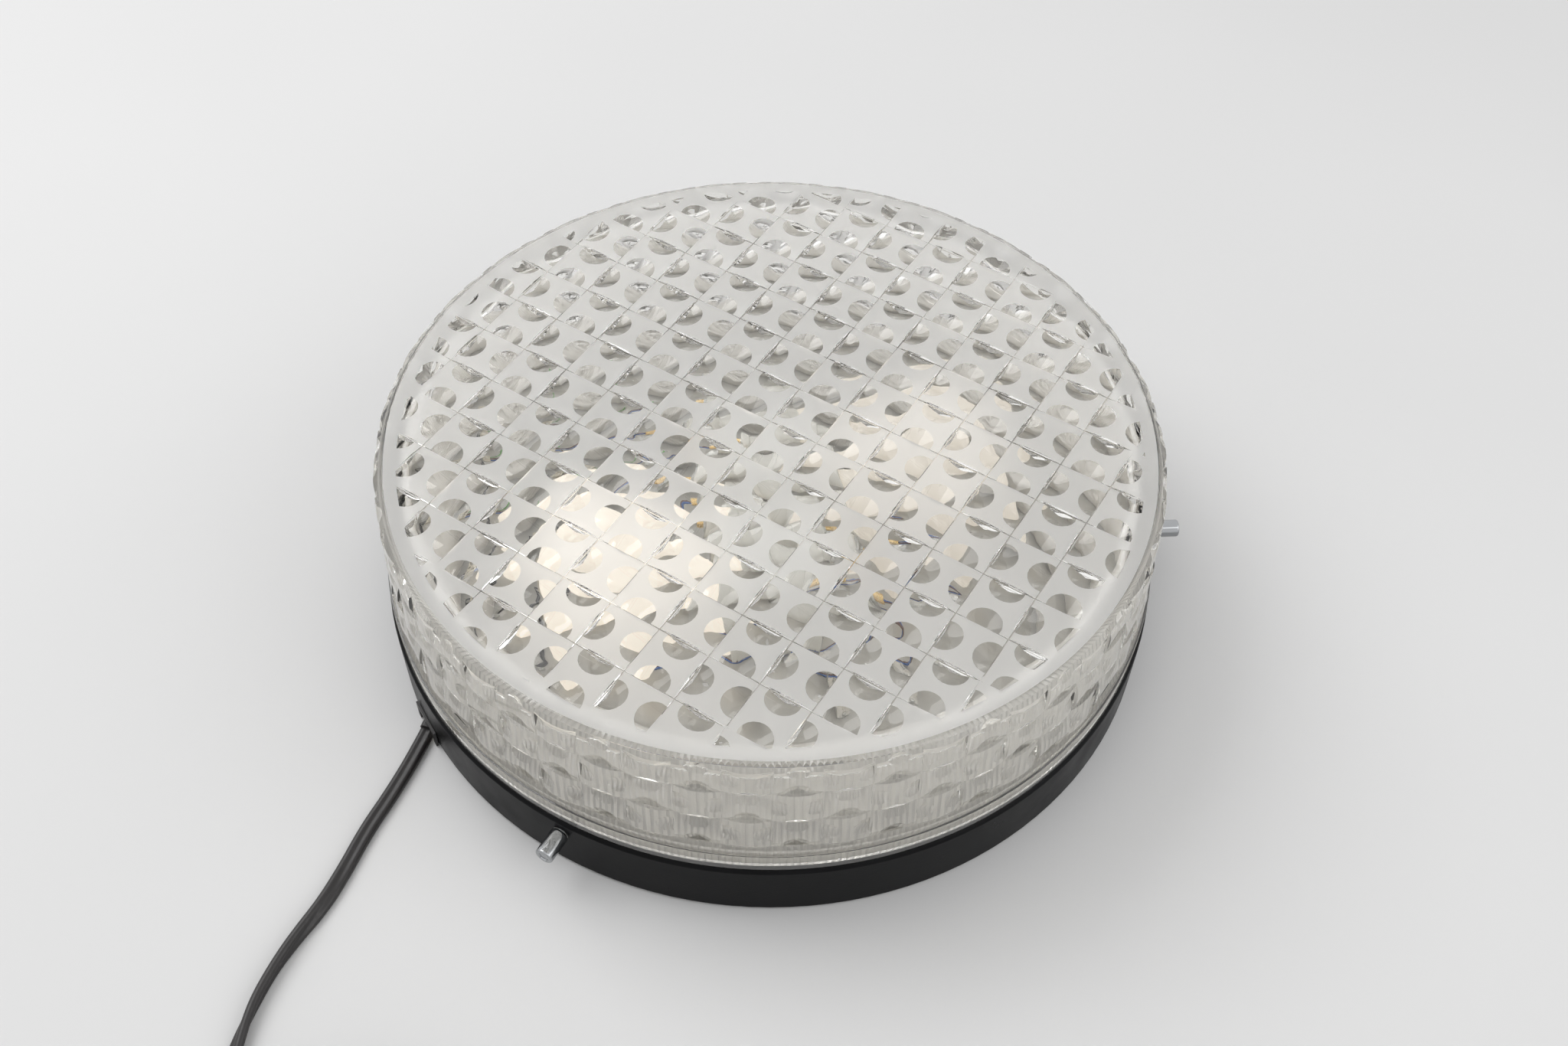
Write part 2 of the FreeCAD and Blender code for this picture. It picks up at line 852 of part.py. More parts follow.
def holder_nut():
    """The nut behind the bracket, with its corners turned off."""
    corner_radius = nut_across_flats / 2 / math.cos(math.radians(30))
    start = bracket_back - nut_thickness
    points = []
    for index in range(7):
        turn = math.radians(60 * index)
        points.append(V(start, corner_radius * math.cos(turn), corner_radius * math.sin(turn)))
    hexagon = Part.Face(Part.makePolygon(points)).extrude(V(nut_thickness, 0, 0))
    rounding = turned([
        (start - 0.01, 0),
        (start - 0.01, nut_across_flats / 2),
        (start + 1.0, corner_radius + 0.5),
        (bracket_back + 0.01, corner_radius + 0.5),
        (bracket_back + 0.01, 0),
    ], ALONG)
    bore = rod(nipple_radius + running_clearance, V(start - 1, 0, 0), V(bracket_back + 1, 0, 0))
    return hexagon.common(rounding).cut(bore)


def bulb_profile(shrink):
    """The bulb's outline from its neck to its tip, made smaller all round by a shrink."""
    centre = bulb_length - bulb_radius
    sphere = bulb_radius - shrink
    neck = bulb_neck_radius - shrink
    waist = ((centre - bulb_neck_place) ** 2 + neck ** 2 - sphere ** 2) / (2 * (sphere - neck))
    arm = V(bulb_neck_place - centre, 0, neck + waist)
    meeting = V(centre, 0, 0) + unit(arm) * sphere
    throat = cap_radius - cap_thickness - cap_glass_gap - shrink
    throat_start = cap_start + cap_length - 6.0
    neck_start = cap_start + cap_length + 0.5
    waist_centre = V(bulb_neck_place, 0, neck + waist)
    waist_turn = 0.5 * math.atan2(meeting.x - waist_centre.x, waist_centre.z - meeting.z)
    waist_middle = waist_centre + V(math.sin(waist_turn), 0, -math.cos(waist_turn)) * waist
    dome_angle = 0.5 * math.atan2(meeting.z, meeting.x - centre)
    dome_middle = V(centre, 0, 0) + V(math.cos(dome_angle), 0, math.sin(dome_angle)) * sphere
    tip = V(centre + sphere, 0, 0)
    edges = [
        Part.LineSegment(V(throat_start, 0, throat), V(neck_start, 0, throat)).toShape(),
        Part.LineSegment(V(neck_start, 0, throat), V(bulb_neck_place, 0, neck)).toShape(),
        Part.Arc(V(bulb_neck_place, 0, neck), waist_middle, meeting).toShape(),
        Part.Arc(meeting, dome_middle, tip).toShape(),
    ]
    return edges, V(throat_start, 0, throat), tip


def bulb_glass():
    """The bulb's thin envelope, open at the throat that sits in the cap."""
    outer_edges, outer_start, outer_tip = bulb_profile(0)
    inner_edges, inner_start, inner_tip = bulb_profile(bulb_glass_thickness)
    edges = outer_edges + [Part.LineSegment(outer_tip, inner_tip).toShape()]
    edges = edges + inner_edges + [Part.LineSegment(inner_start, outer_start).toShape()]
    section = Part.Face(Part.Wire(Part.__sortEdges__(edges)))
    return section.revolve(V(0, 0, 0), ALONG, 360)


def bulb_cap():
    """The bulb's screw cap, a thin shell that narrows to the insulator."""
    taper_end = cap_start + cap_taper_length
    end = cap_start + cap_length
    return turned([
        (cap_start, cap_foot_radius - cap_thickness),
        (cap_start, cap_foot_radius),
        (taper_end, cap_radius),
        (end, cap_radius),
        (end, cap_radius - cap_thickness),
        (taper_end + cap_thickness, cap_radius - cap_thickness),
        (cap_start + cap_thickness, cap_foot_radius - cap_thickness),
    ], ALONG)


def bulb_insulator():
    """The dark glass insulator between the cap and the centre contact."""
    inner = cap_foot_radius - cap_thickness
    return turned([
        (insulator_start, 0),
        (insulator_start, insulator_tip_radius),
        (cap_start, inner),
        (cap_start + 1.0, inner),
        (cap_start + 1.0, 0),
    ], ALONG)


def bulb_contact():
    """The soldered centre contact at the bulb's end."""
    return turned([
        (0, 0),
        (0, solder_contact_radius, 0.6),
        (insulator_start, solder_contact_radius),
        (insulator_start, 0),
    ], ALONG)


def bulb_stem():
    """The glass stem inside the bulb, flared where it is sealed to the neck."""
    seal = cap_radius - cap_thickness - cap_glass_gap - bulb_glass_thickness
    seal_start = cap_start + cap_length - 5.0
    return turned([
        (seal_start, 0),
        (seal_start, seal),
        (seal_start + 1.2, seal),
        (seal_start + 1.2 + 6.0, stem_radius, 2.0),
        (stem_end, stem_radius, 0.8),
        (stem_end, 0),
    ], ALONG)


def bulb_filament():
    """The filament bar on its two lead wires, which stand in the stem's end."""
    half = filament_span / 2
    pieces = []
    for side in (-1, 1):
        foot = V(stem_end + filament_lead_radius, side * stem_radius * 0.4, 0)
        top = V(filament_place, side * half, 0)
        pieces.append(rod(filament_lead_radius, foot, top))
        pieces.append(Part.makeSphere(filament_radius, top))
    bar = rod(filament_radius, V(filament_place, -half, 0), V(filament_place, half, 0))
    return bar.fuse(pieces).removeSplitter()


def terminal_block():
    """The moulded block with a channel for each brass insert and holes for its screws."""
    x, y = terminal_centre
    half_length = terminal_body_length() / 2
    low = V(x - terminal_width / 2, y - half_length, sheet)
    high = V(x + terminal_width / 2, y + half_length, sheet + terminal_height)
    body = rounded_block(low, high, terminal_edge_radius)
    cutters = []
    half_side = insert_side / 2 + running_clearance
    axis = sheet + insert_height
    for row in terminal_rows():
        cutters.append(block(V(low.x - 1, row - half_side, axis - half_side),
                             V(high.x + 1, row + half_side, axis + half_side)))
        for side in (-1, 1):
            spot = V(x + side * clamp_screw_spacing / 2, row, 0)
            cutters.append(rod(grub_hole_radius, spot + V(0, 0, axis), spot + V(0, 0, high.z + 1)))
    fixing_x, fixing_y = terminal_fixing_place()
    head_seat = sheet + terminal_height - small_screw_head_height - 1.0
    through = small_screw_radius + through_hole_clearance
    cutters.append(rod(through, V(fixing_x, fixing_y, 0), V(fixing_x, fixing_y, high.z + 1)))
    return body.cut(cutters), head_seat


def terminal_inserts():
    """The brass inserts, each bored for its wires and tapped for its two screws."""
    x = terminal_centre[0]
    axis = sheet + insert_height
    half = insert_side / 2
    inserts = []
    for row in terminal_rows():
        low = V(x - insert_length / 2, row - half, axis - half)
        high = V(x + insert_length / 2, row + half, axis + half)
        solid = block(low, high)
        cutters = [rod(insert_bore_radius, V(low.x - 1, row, axis), V(high.x + 1, row, axis))]
        for side in (-1, 1):
            spot = V(x + side * clamp_screw_spacing / 2, row, axis)
            cutters.append(rod(grub_radius + running_clearance, spot, spot + V(0, 0, insert_side)))
        inserts.append(solid.cut(cutters))
    return inserts


def terminal_grubs():
    """The small slotted screws that hold the wires in the inserts."""
    x = terminal_centre[0]
    bottom = sheet + insert_height + conductor_radius + running_clearance
    screws = []
    for row in terminal_rows():
        for side in (-1, 1):
            foot = V(x + side * clamp_screw_spacing / 2, row, bottom)
            top = foot + V(0, 0, grub_length)
            slot = block(top - V(3, screw_slot_width / 2, screw_slot_depth),
                         top + V(3, screw_slot_width / 2, 1))
            screws.append(rod(grub_radius, foot, top).cut(slot))
    return screws


def cord_bush():
    """The rubber arch that lines the notch, with a lip on each side of the wall."""
    half = cord_notch_width / 2 - running_clearance
    top = cord_notch_height - running_clearance
    inner_half = half - bush_wall
    inner_top = top - bush_wall
    wall_near = math.sqrt(wall_inner_radius ** 2 - (half + bush_lip) ** 2) - running_clearance
    wall_far = pan_radius + running_clearance
    lining = block(V(wall_near, -half, soft_clearance), V(wall_far, half, top))
    outer_lip = block(V(wall_far, -half - bush_lip, soft_clearance),
                      V(wall_far + bush_lip_thickness, half + bush_lip, top + bush_lip))
    above_foot = pan_foot_radius + running_clearance
    inner_lip = block(V(wall_near - bush_lip_thickness, -half - bush_lip, above_foot),
                      V(wall_near, half + bush_lip, top + bush_lip))
    inside = block(V(wall_near - 5, -inner_half, -1), V(wall_far + 5, inner_half, inner_top))
    bush = lining.fuse([outer_lip, inner_lip]).cut(inside).removeSplitter()
    bush.rotate(V(0, 0, 0), UP, cord_notch_angle)
    return bush


def cord_clamp():
    """The saddle that holds the lead down on the floor inside the pan."""
    centre, along = clamp_frame()
    top = sheet + cord_thickness + 2 * running_clearance + cord_clamp_top
    low = V(-cord_clamp_width / 2, -cord_clamp_length / 2, sheet)
    high = V(cord_clamp_width / 2, cord_clamp_length / 2, top)
    saddle = rounded_block(low, high, 2.0)
    channel_half = cord_width / 2 + running_clearance
    channel_top = cord_height + cord_thickness / 2 + running_clearance
    cutters = [block(V(low.x - 1, -channel_half, 0), V(high.x + 1, channel_half, channel_top))]
    for side in (-1, 1):
        spot = V(0, side * cord_clamp_screw_spacing / 2, 0)
        hole = small_screw_radius + through_hole_clearance
        cutters.append(rod(hole, spot, spot + V(0, 0, top + 1)))
    saddle = saddle.cut(cutters)
    saddle.rotate(V(0, 0, 0), UP, math.degrees(math.atan2(along.y, along.x)))
    saddle.translate(centre)
    return saddle, top


def terminal_wire(points, row, side, lane):
    """A wire whose last stretch enters one pole, side -1 or 1 of the block, in a lane."""
    x = terminal_centre[0]
    axis = sheet + insert_height
    end = V(x + side * (insert_length / 2 + wire_gap), row + lane * core_offset, axis)
    before = end + V(side * 8.0, 0, 0)
    insulated = tube(points + [before, end], wire_radius)
    tip_lane = lane * (core_offset - conductor_radius)
    tip = V(end.x, row + tip_lane, axis)
    bare = rod(conductor_radius, tip + V(side * 1.0, 0, 0), tip - V(side * conductor_reach, 0, 0))
    return insulated.fuse(bare).removeSplitter()


def cord_tail():
    """The lead inside the pan, flat as far as the split, then two cores to the block."""
    points = tail_points()
    path, radii = bent_path(points)
    print("tail bend radii", [round(value, 1) for value in radii])
    section = flat_section(cord_width, cord_thickness, points[0], points[1] - points[0])
    flat = path.makePipeShell([section], True, False)
    split = points[-1]
    rows = terminal_rows()
    parting = (cord_width - cord_thickness) / 2
    level = sheet + insert_height
    near = terminal_centre[0] - terminal_width / 2
    left = [
        split + V(-parting, -2.0, 0),
        split + V(-parting - 0.6, 5.0, 0.6),
        V(split.x - 4.0, rows[0] + 1.0, level - 1.0),
        V(near - 9.0, rows[1] - 2.0, level),
    ]
    right = [
        split + V(parting, -2.0, 0),
        split + V(parting, 4.0, 0.6),
        V(near - 6.5, rows[0] - 3.5, level - 1.0),
    ]
    cores = [terminal_wire(left, rows[1], -1, 0), terminal_wire(right, rows[0], -1, 0)]
    return flat.fuse(cores).removeSplitter()


def beside(points, offset):
    """A route to the right of another one, by an offset in plan."""
    shifted = []
    ahead = V(0, 0, 0)
    for index, point in enumerate(points):
        before = points[max(index - 1, 0)]
        after = points[min(index + 1, len(points) - 1)]
        run = V(after.x - before.x, after.y - before.y, 0)
        ahead = unit(run) if run.Length > 0.5 else ahead
        shifted.append(point + V(ahead.y, -ahead.x, 0) * offset)
    return shifted


def holder_wire_routes():
    """The middle line of each holder's pair of wires, from the nipple to the block."""
    outlet = holder_start - nipple_length
    far = lamp_point(outlet, 0, 0)
    near = lamp_point(outlet, 0, 1)
    height = bulb_axis_height
    level = sheet + wire_radius + 0.1
    rows = terminal_rows()
    middle = (rows[0] + rows[1]) / 2
    approach = terminal_centre[0] + terminal_width / 2
    edge = far[1] + bracket_width / 2 + 2.8
    inside = nipple_engagement + nipple_length - 2.0
    long_way = [
        V(far[0] - inside, far[1], height),
        V(far[0] + 6.0, far[1], height),
        V(far[0] + 16.0, far[1] + 1.0, height - 5.0),
        V(far[0] + 20.5, far[1] + 4.0, height - 15.0),
        V(far[0] + 20.5, far[1] + 9.0, height - 27.0),
        V(far[0] + 15.0, edge - 0.5, level + 4.0),
        V(far[0] + 2.0, edge, level),
        V(far[0] - 24.0, edge, level),
        V(approach + 84.0, edge - 0.6, level),
        V(approach + 56.0, edge + 4.0, level),
        V(approach + 32.0, edge + 14.0, level),
        V(approach + 16.0, middle - 6.0, level + 1.5),
    ]
    short_way = [
        V(near[0] + inside, near[1], height),
        V(near[0] - 6.0, near[1], height),
        V(near[0] - 16.0, near[1] - 1.0, height - 5.0),
        V(near[0] - 21.0, near[1] - 3.0, height - 15.0),
        V(near[0] - 25.0, near[1] - 6.0, height - 26.0),
        V(near[0] - 32.0, middle + 0.6, level + 9.0),
        V(near[0] - 42.0, middle + 0.2, level + 8.0),
    ]
    return long_way, short_way


def holder_wires(row, offset):
    """One pole's two wires, a long one and a short one, each on its side of its pair."""
    long_way, short_way = holder_wire_routes()
    lane = -1
    wires = [terminal_wire(beside(long_way, offset), row, 1, lane)]
    wires.append(terminal_wire(beside(short_way, offset), row, 1, -lane))
    return wires


def earth_wire():
    """The wire from the block's last pole to the earth screw's washer."""
    row = terminal_rows()[-1]
    x, y = earth_place
    on_washer = sheet + washer_thickness + wire_radius + 0.1
    start = V(x, y - floor_screw_head_radius - 0.2, on_washer)
    points = [
        start,
        start + V(0.4, -9.0, 0),
        V(x + 0.5, y - 23.0, on_washer + 0.6),
        V(x - 2.5, row + 3.5, sheet + insert_height - 1.0),
    ]
    return terminal_wire(points, row, 1, 0)


def earth_washer():
    """The washer under the earth screw's head."""
    x, y = earth_place
    outer = rod(washer_radius, V(x, y, sheet), V(x, y, sheet + washer_thickness))
    hole = rod(floor_screw_radius + through_hole_clearance, V(x, y, 0), V(x, y, sheet + 2))
    return outer.cut(hole)


def coil_state(turns):
    """Radius, height and angle of the coil's middle line after a number of turns."""
    reversal = coil_turns_in + coil_climb_turns / 2
    radius = coil_inner_radius + coil_pitch * abs(turns - reversal)
    climbed = (turns - coil_turns_in) / coil_climb_turns
    share = min(max(climbed, 0), 1)
    height = coil_height + coil_pitch * share * share * (3 - 2 * share)
    return radius, height, coil_start_angle + 360.0 * turns


def coil_point(turns):
    """A point on the coil's middle line."""
    radius, height, angle = coil_state(turns)
    return polar(radius, angle, height) + vector(coil_centre, 0)


def coil_tangent(turns, total):
    """The coil's direction after a number of turns, square to the radius at both ends."""
    if turns == 0 or turns == total:
        return polar(1, coil_state(turns)[2] + 90)
    step = 1e-4
    return unit(coil_point(turns + step) - coil_point(turns - step))


def biarc(start, start_direction, end, end_direction):
    """Two arcs that leave one point and reach another in given directions."""
    gap = end - start
    both = start_direction + end_direction
    spread = 2 * (1 - start_direction.dot(end_direction))
    if spread < 1e-9:
        reach = gap.dot(gap) / (4 * gap.dot(end_direction))
    else:
        along = gap.dot(both)
        reach = (math.sqrt(along ** 2 + spread * gap.dot(gap)) - along) / spread
    first_corner = start + start_direction * reach
    second_corner = end - end_direction * reach
    joint = (first_corner + second_corner) * 0.5
    first = corner_arc(start, first_corner, joint, reach)
    second = corner_arc(joint, second_corner, end, reach)
    arcs = [Part.Arc(start, first[1], joint).toShape(), Part.Arc(joint, second[1], end).toShape()]
    return arcs, min(first[3], second[3])


def coil_end():
    """The coil's last point and direction."""
    total = coil_turns_in + coil_climb_turns + coil_turns_out
    end = coil_point(total)
    direction = coil_tangent(total, total)
    return end + direction * coil_straight, direction


def cord_coil():
    """The put-away length: one unbroken tube that spirals in, climbs and spirals out."""
    total = coil_turns_in + coil_climb_turns + coil_turns_out
    steps = int(round(total * 4))
    start = coil_point(0)
    start_direction = coil_tangent(0, total)
    begin = start - start_direction * coil_straight
    edges = [Part.LineSegment(begin, start).toShape()]
    smallest = coil_outer_radius
    for index in range(steps):
        here = index * total / steps
        there = (index + 1) * total / steps
        arcs, radius = biarc(coil_point(here), coil_tangent(here, total),
                             coil_point(there), coil_tangent(there, total))
        edges.extend(arcs)
        smallest = min(smallest, radius)
    end, direction = coil_end()
    edges.append(Part.LineSegment(coil_point(total), end).toShape())
    path = Part.Wire(edges)
    section = round_section(cord_width / 2, begin, start_direction)
    solid = path.makePipeShell([section], True, False)
    expected = math.pi * (cord_width / 2) ** 2 * path.Length
    print("coil length", round(path.Length, 1), "volume ratio", round(solid.Volume / expected, 4))
    print("coil tightest radius", round(smallest, 1), "least gap", round(coil_gap(total), 2))
    return solid


def coil_gap(total):
    """The least gap between the coil's turns, measured on points of its middle line."""
    steps = int(total * 60)
    points = [coil_point(index * total / steps) for index in range(steps + 1)]
    skip = 30
    least = coil_outer_radius
    for index, point in enumerate(points):
        for other in points[index + skip:]:
            least = min(least, point.distanceToPoint(other))
    return least - cord_width


def cord_tie():
    """The band that holds the coil's turns together, at the coil's +X side."""
    near = coil_inner_radius - cord_width / 2 - tie_gap
    far = coil_outer_radius - coil_pitch * 0.5 + cord_width / 2 + tie_gap
    top = coil_height + coil_pitch + cord_width / 2 + tie_gap
    x, y = coil_centre
    outer = outline([
        (x + near - tie_thickness, 0, 2.5),
        (x + far + tie_thickness, 0, 2.5),
        (x + far + tie_thickness, top + tie_thickness, 2.5),
        (x + near - tie_thickness, top + tie_thickness, 2.5),
    ])
    inner = outline([
        (x + near, tie_thickness, 1.7),
        (x + far, tie_thickness, 1.7),
        (x + far, top, 1.7),
        (x + near, top, 1.7),
    ])
    ring = outer.cut(inner)
    ring.translate(V(0, y - tie_band / 2, 0))
    return ring.extrude(V(0, tie_band, 0))


def lead_end_points():
    """The lead from the coil to the plug, settling to the plug's height."""
    start, direction = coil_end()
    sink = V(0, -1.0, plug_thickness / 2 - start.z)
    return [
        start,
        start + direction * plug_lead_run,
        start + direction * (plug_lead_run * 2.3) + sink,
        start + direction * (plug_lead_run * 3.3) + sink,
    ]


def rounded_section(along, width, thickness, radius):
    """A rounded rectangle square to X, for the plug's loft."""
    section = outline([
        (-width / 2, -thickness / 2, radius),
        (width / 2, -thickness / 2, radius),
        (width / 2, thickness / 2, radius),
        (-width / 2, thickness / 2, radius),
    ])
    section.rotate(V(0, 0, 0), UP, 90)
    section.translate(V(along, 0, 0))
    return section.OuterWire


def plug_body():
    """The flat moulded plug: a tapered rear with grip grooves and a wide front."""
    rear = rounded_section(0, plug_rear_width, plug_rear_thickness, 3.0)
    wide = rounded_section(plug_taper_length, plug_width, plug_thickness, plug_corner_radius)
    front = rounded_section(plug_length, plug_width, plug_thickness, plug_corner_radius)
    body = Part.makeLoft([rear, wide, front], True, True)
    rims = [edge for edge in body.Edges if abs(edge.CenterOfMass.x - plug_length) < 0.01]
    body = body.makeFillet(plug_edge_radius / 2, rims)
    cutters = []
    for index in range(plug_grip_count):
        place = plug_taper_length + 3.0 + index * 4.0
        for side in (-1, 1):
            low = plug_thickness / 2 - plug_grip_depth
            start = V(place, -plug_width * 0.3, min(side * low, side * (low + 2)))
            end = V(place + plug_grip_width, plug_width * 0.3, max(side * low, side * (low + 2)))
            cutters.append(block(start, end))
    for side in (-1, 1):
        start = V(plug_length - plug_pin_root, side * plug_pin_spacing / 2, 0)
        cutters.append(rod(plug_pin_root_radius + running_clearance, start,
                           start + V(plug_pin_length, 0, 0)))
    return body.cut(cutters)


def plug_pins():
    """The two round pins, on thinner roots that are moulded into the plug."""
    end = plug_length + plug_pin_length
    start = plug_length - plug_pin_root
    pin = turned([
        (start, 0),
        (start, plug_pin_root_radius),
        (plug_length, plug_pin_root_radius),
        (plug_length, plug_pin_radius),
        (end, plug_pin_radius, plug_pin_rounding),
        (end, 0),
    ], ALONG)
    pins = []
    for side in (-1, 1):
        moved = pin.copy()
        moved.translate(V(0, side * plug_pin_spacing / 2, 0))
        pins.append(moved)
    return pins


def export(name, shape):
    """Writes one node, as one solid or as a group of separate ones."""
    if isinstance(shape, list):
        shape = Part.makeCompound(shape)
    solids = shape.Solids
    valid = shape.isValid() and all(solid.isClosed() for solid in solids)
    print(name, "solids", len(solids), "volume", round(shape.Volume, 1), "valid", valid)
    shape.exportStep("parts/" + name + ".step")


def build():
    """Makes every node of the lamp."""
    os.makedirs("parts", exist_ok=True)
    export("base_pan", base_pan())
    export("glass_shade", glass_shade())

    bush = screw_bush()
    export("screw_bushes", [on_screw_axis(bush, index) for index in range(len(screw_angles))])
    for index in range(len(screw_angles)):
        export("thumb_screw_" + str(index + 1), on_screw_axis(thumb_screw(), index, True))
        export("screw_tip_" + str(index + 1), on_screw_axis(screw_tip(), index, True))

    lamp_pieces = {
        "holder_bracket": holder_bracket,
        "holder_body": holder_body,
        "holder_shell": holder_shell,
        "holder_contact": holder_contact,
        "holder_nipple": holder_nipple,
        "bulb_glass": bulb_glass,
        "bulb_cap": bulb_cap,
        "bulb_insulator": bulb_insulator,
        "bulb_contact": bulb_contact,
        "bulb_stem": bulb_stem,
        "bulb_filament": bulb_filament,
    }
    for name, make in lamp_pieces.items():
        solid = make()
        for index in range(bulb_count):
            export(name + "_" + str(index + 1), placed_lamp(solid, index))
    nut = holder_nut()
    export("holder_nuts", [placed_lamp(nut, index) for index in range(bulb_count)])
    seat = sheet + bracket_thickness
    bracket_screws = []
    for index in range(bulb_count):
        for along, side in bracket_screw_places():
            place = lamp_point(along, side, index)
            bracket_screws.append(floor_screw(place, seat, floor_screw_radius,
                                              floor_screw_head_radius, floor_screw_head_height))
    export("bracket_screws", bracket_screws)

    body, head_seat = terminal_block()
    fixing = terminal_fixing_place()
    head_well = rod(small_screw_head_radius + soft_clearance, V(fixing[0], fixing[1], head_seat),
                    V(fixing[0], fixing[1], head_seat + 10))
    export("terminal_block", body.cut(head_well))
    export("terminal_inserts", terminal_inserts())
    export("terminal_screws", terminal_grubs())
    export("terminal_fixing_screw", floor_screw(fixing, head_seat, small_screw_radius,
                                                small_screw_head_radius, small_screw_head_height))
    export("earth_washer", earth_washer())
    export("earth_screw", floor_screw(earth_place, sheet + washer_thickness, floor_screw_radius,
                                      floor_screw_head_radius, floor_screw_head_height))

    rows = terminal_rows()
    export("live_wires", holder_wires(rows[1], wire_offset))
    export("neutral_wires", holder_wires(rows[0], -wire_offset))
    export("earth_wire", earth_wire())

    saddle, saddle_top = cord_clamp()
    export("cord_clamp", saddle)
    export("cord_clamp_screws", [
        floor_screw(place, saddle_top, small_screw_radius,
                    small_screw_head_radius, small_screw_head_height)
        for place in clamp_screw_places()
    ])
    export("cord_bush", cord_bush())
    export("cord_tail", cord_tail())
    lead = [vector(point, cord_height) for point in lead_points[:-1]]
    lead.append(vector(lead_points[-1], coil_height))
    lead.append(coil_point(0) - coil_tangent(0, 1) * coil_straight)
    export("cord_lead", tube(lead, cord_width / 2, "cord lead"))
    export("cord_coil", cord_coil())
    end_points = lead_end_points()
    export("cord_end", tube(end_points, cord_width / 2, "cord end"))
    export("cord_tie", cord_tie())
    for name, shape in (("plug_body", plug_body()), ("plug_pins", Part.makeCompound(plug_pins()))):
        shape.translate(end_points[-1])
        export(name, shape)


build()
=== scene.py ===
"""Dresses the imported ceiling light: pressed glass, flex, bulbs, finishes, studio and camera.

All sizes in the settings are in metres. The CAD model is the frame, and no piece leaves its box.
"""

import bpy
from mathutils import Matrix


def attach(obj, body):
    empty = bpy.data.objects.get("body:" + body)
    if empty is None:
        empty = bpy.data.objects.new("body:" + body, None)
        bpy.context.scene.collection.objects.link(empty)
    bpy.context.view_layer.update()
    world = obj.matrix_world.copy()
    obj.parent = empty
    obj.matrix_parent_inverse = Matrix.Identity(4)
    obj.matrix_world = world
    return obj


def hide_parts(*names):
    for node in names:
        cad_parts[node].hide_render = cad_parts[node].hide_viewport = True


bl_info = {
    "name": "Ceiling light with a pressed glass shade",
    "version": (1, 0, 0),
    "blender": (4, 5, 0),
    "location": "View3D > Sidebar > Ceiling light",
    "description": "Builds the visual pieces of a round ceiling light over its packed CAD frame",
    "category": "Object",
}

import math

import bpy
from mathutils import Matrix, Vector

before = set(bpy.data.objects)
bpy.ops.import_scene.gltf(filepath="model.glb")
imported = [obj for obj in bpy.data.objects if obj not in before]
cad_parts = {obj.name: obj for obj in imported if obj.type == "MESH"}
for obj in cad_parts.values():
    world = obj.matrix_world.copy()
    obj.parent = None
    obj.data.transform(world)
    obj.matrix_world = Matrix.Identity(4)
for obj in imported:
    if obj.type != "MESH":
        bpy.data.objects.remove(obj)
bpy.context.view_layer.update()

MM = 0.001
# Points that are nearer than this are at the same place
TINY = 1e-6
UP = Vector((0, 0, 1))


class GlassSettings(bpy.types.PropertyGroup):
    pitch: bpy.props.FloatProperty(
        name="Cushion pitch", description="Spacing of the woven cushions on the face",
        default=20.13 * MM, unit="LENGTH")
    turn: bpy.props.FloatProperty(
        name="Lattice turn", description="Angle of the face lattice about the lamp's axis",
        default=math.radians(-32.14), unit="ROTATION")
    first_column: bpy.props.FloatProperty(
        name="Column offset", description="Lattice columns between the axis and column zero",
        default=3.123)
    first_row: bpy.props.FloatProperty(
        name="Row offset", description="Lattice rows between the axis and row zero",
        default=2.155)
    cushion_height: bpy.props.FloatProperty(
        name="Cushion height", description="Rise of a cushion from its foot to its crown",
        default=0.65 * MM, unit="LENGTH")
    field_radius: bpy.props.FloatProperty(
        name="Field radius", description="Radius of the patterned part of the face",
        default=138.3 * MM, unit="LENGTH")
    scoop_radius: bpy.props.FloatProperty(
        name="Half moon radius", description="Radius of the clear half moons in the face",
        default=7.7 * MM, unit="LENGTH")
    scoop_depth: bpy.props.FloatProperty(
        name="Half moon depth", description="Depth of the half moons below the cushions' foot",
        default=2.8 * MM, unit="LENGTH")
    wall_columns: bpy.props.IntProperty(
        name="Wall columns", description="Columns of cushions round the wall", default=56)
    wall_rows: bpy.props.IntProperty(
        name="Wall rows", description="Rows of cushions up the wall", default=3)
    ribs: bpy.props.IntProperty(
        name="Inner ribs", description="Fine upright ribs round the inside of the wall", default=384)
    tint: bpy.props.FloatVectorProperty(
        name="Glass tint", description="Colour that the glass gives to light",
        subtype="COLOR", size=3, min=0, max=1, default=(0.975, 0.97, 0.955))


class FlexSettings(bpy.types.PropertyGroup):
    width: bpy.props.FloatProperty(
        name="Flex width", description="Width of the flat twin flex",
        default=6.0 * MM, unit="LENGTH")
    thickness: bpy.props.FloatProperty(
        name="Flex thickness", description="Thickness of the flat twin flex",
        default=3.3 * MM, unit="LENGTH")
    length: bpy.props.FloatProperty(
        name="Flex length", description="Length from the base to the plug",
        default=1.424, unit="LENGTH")


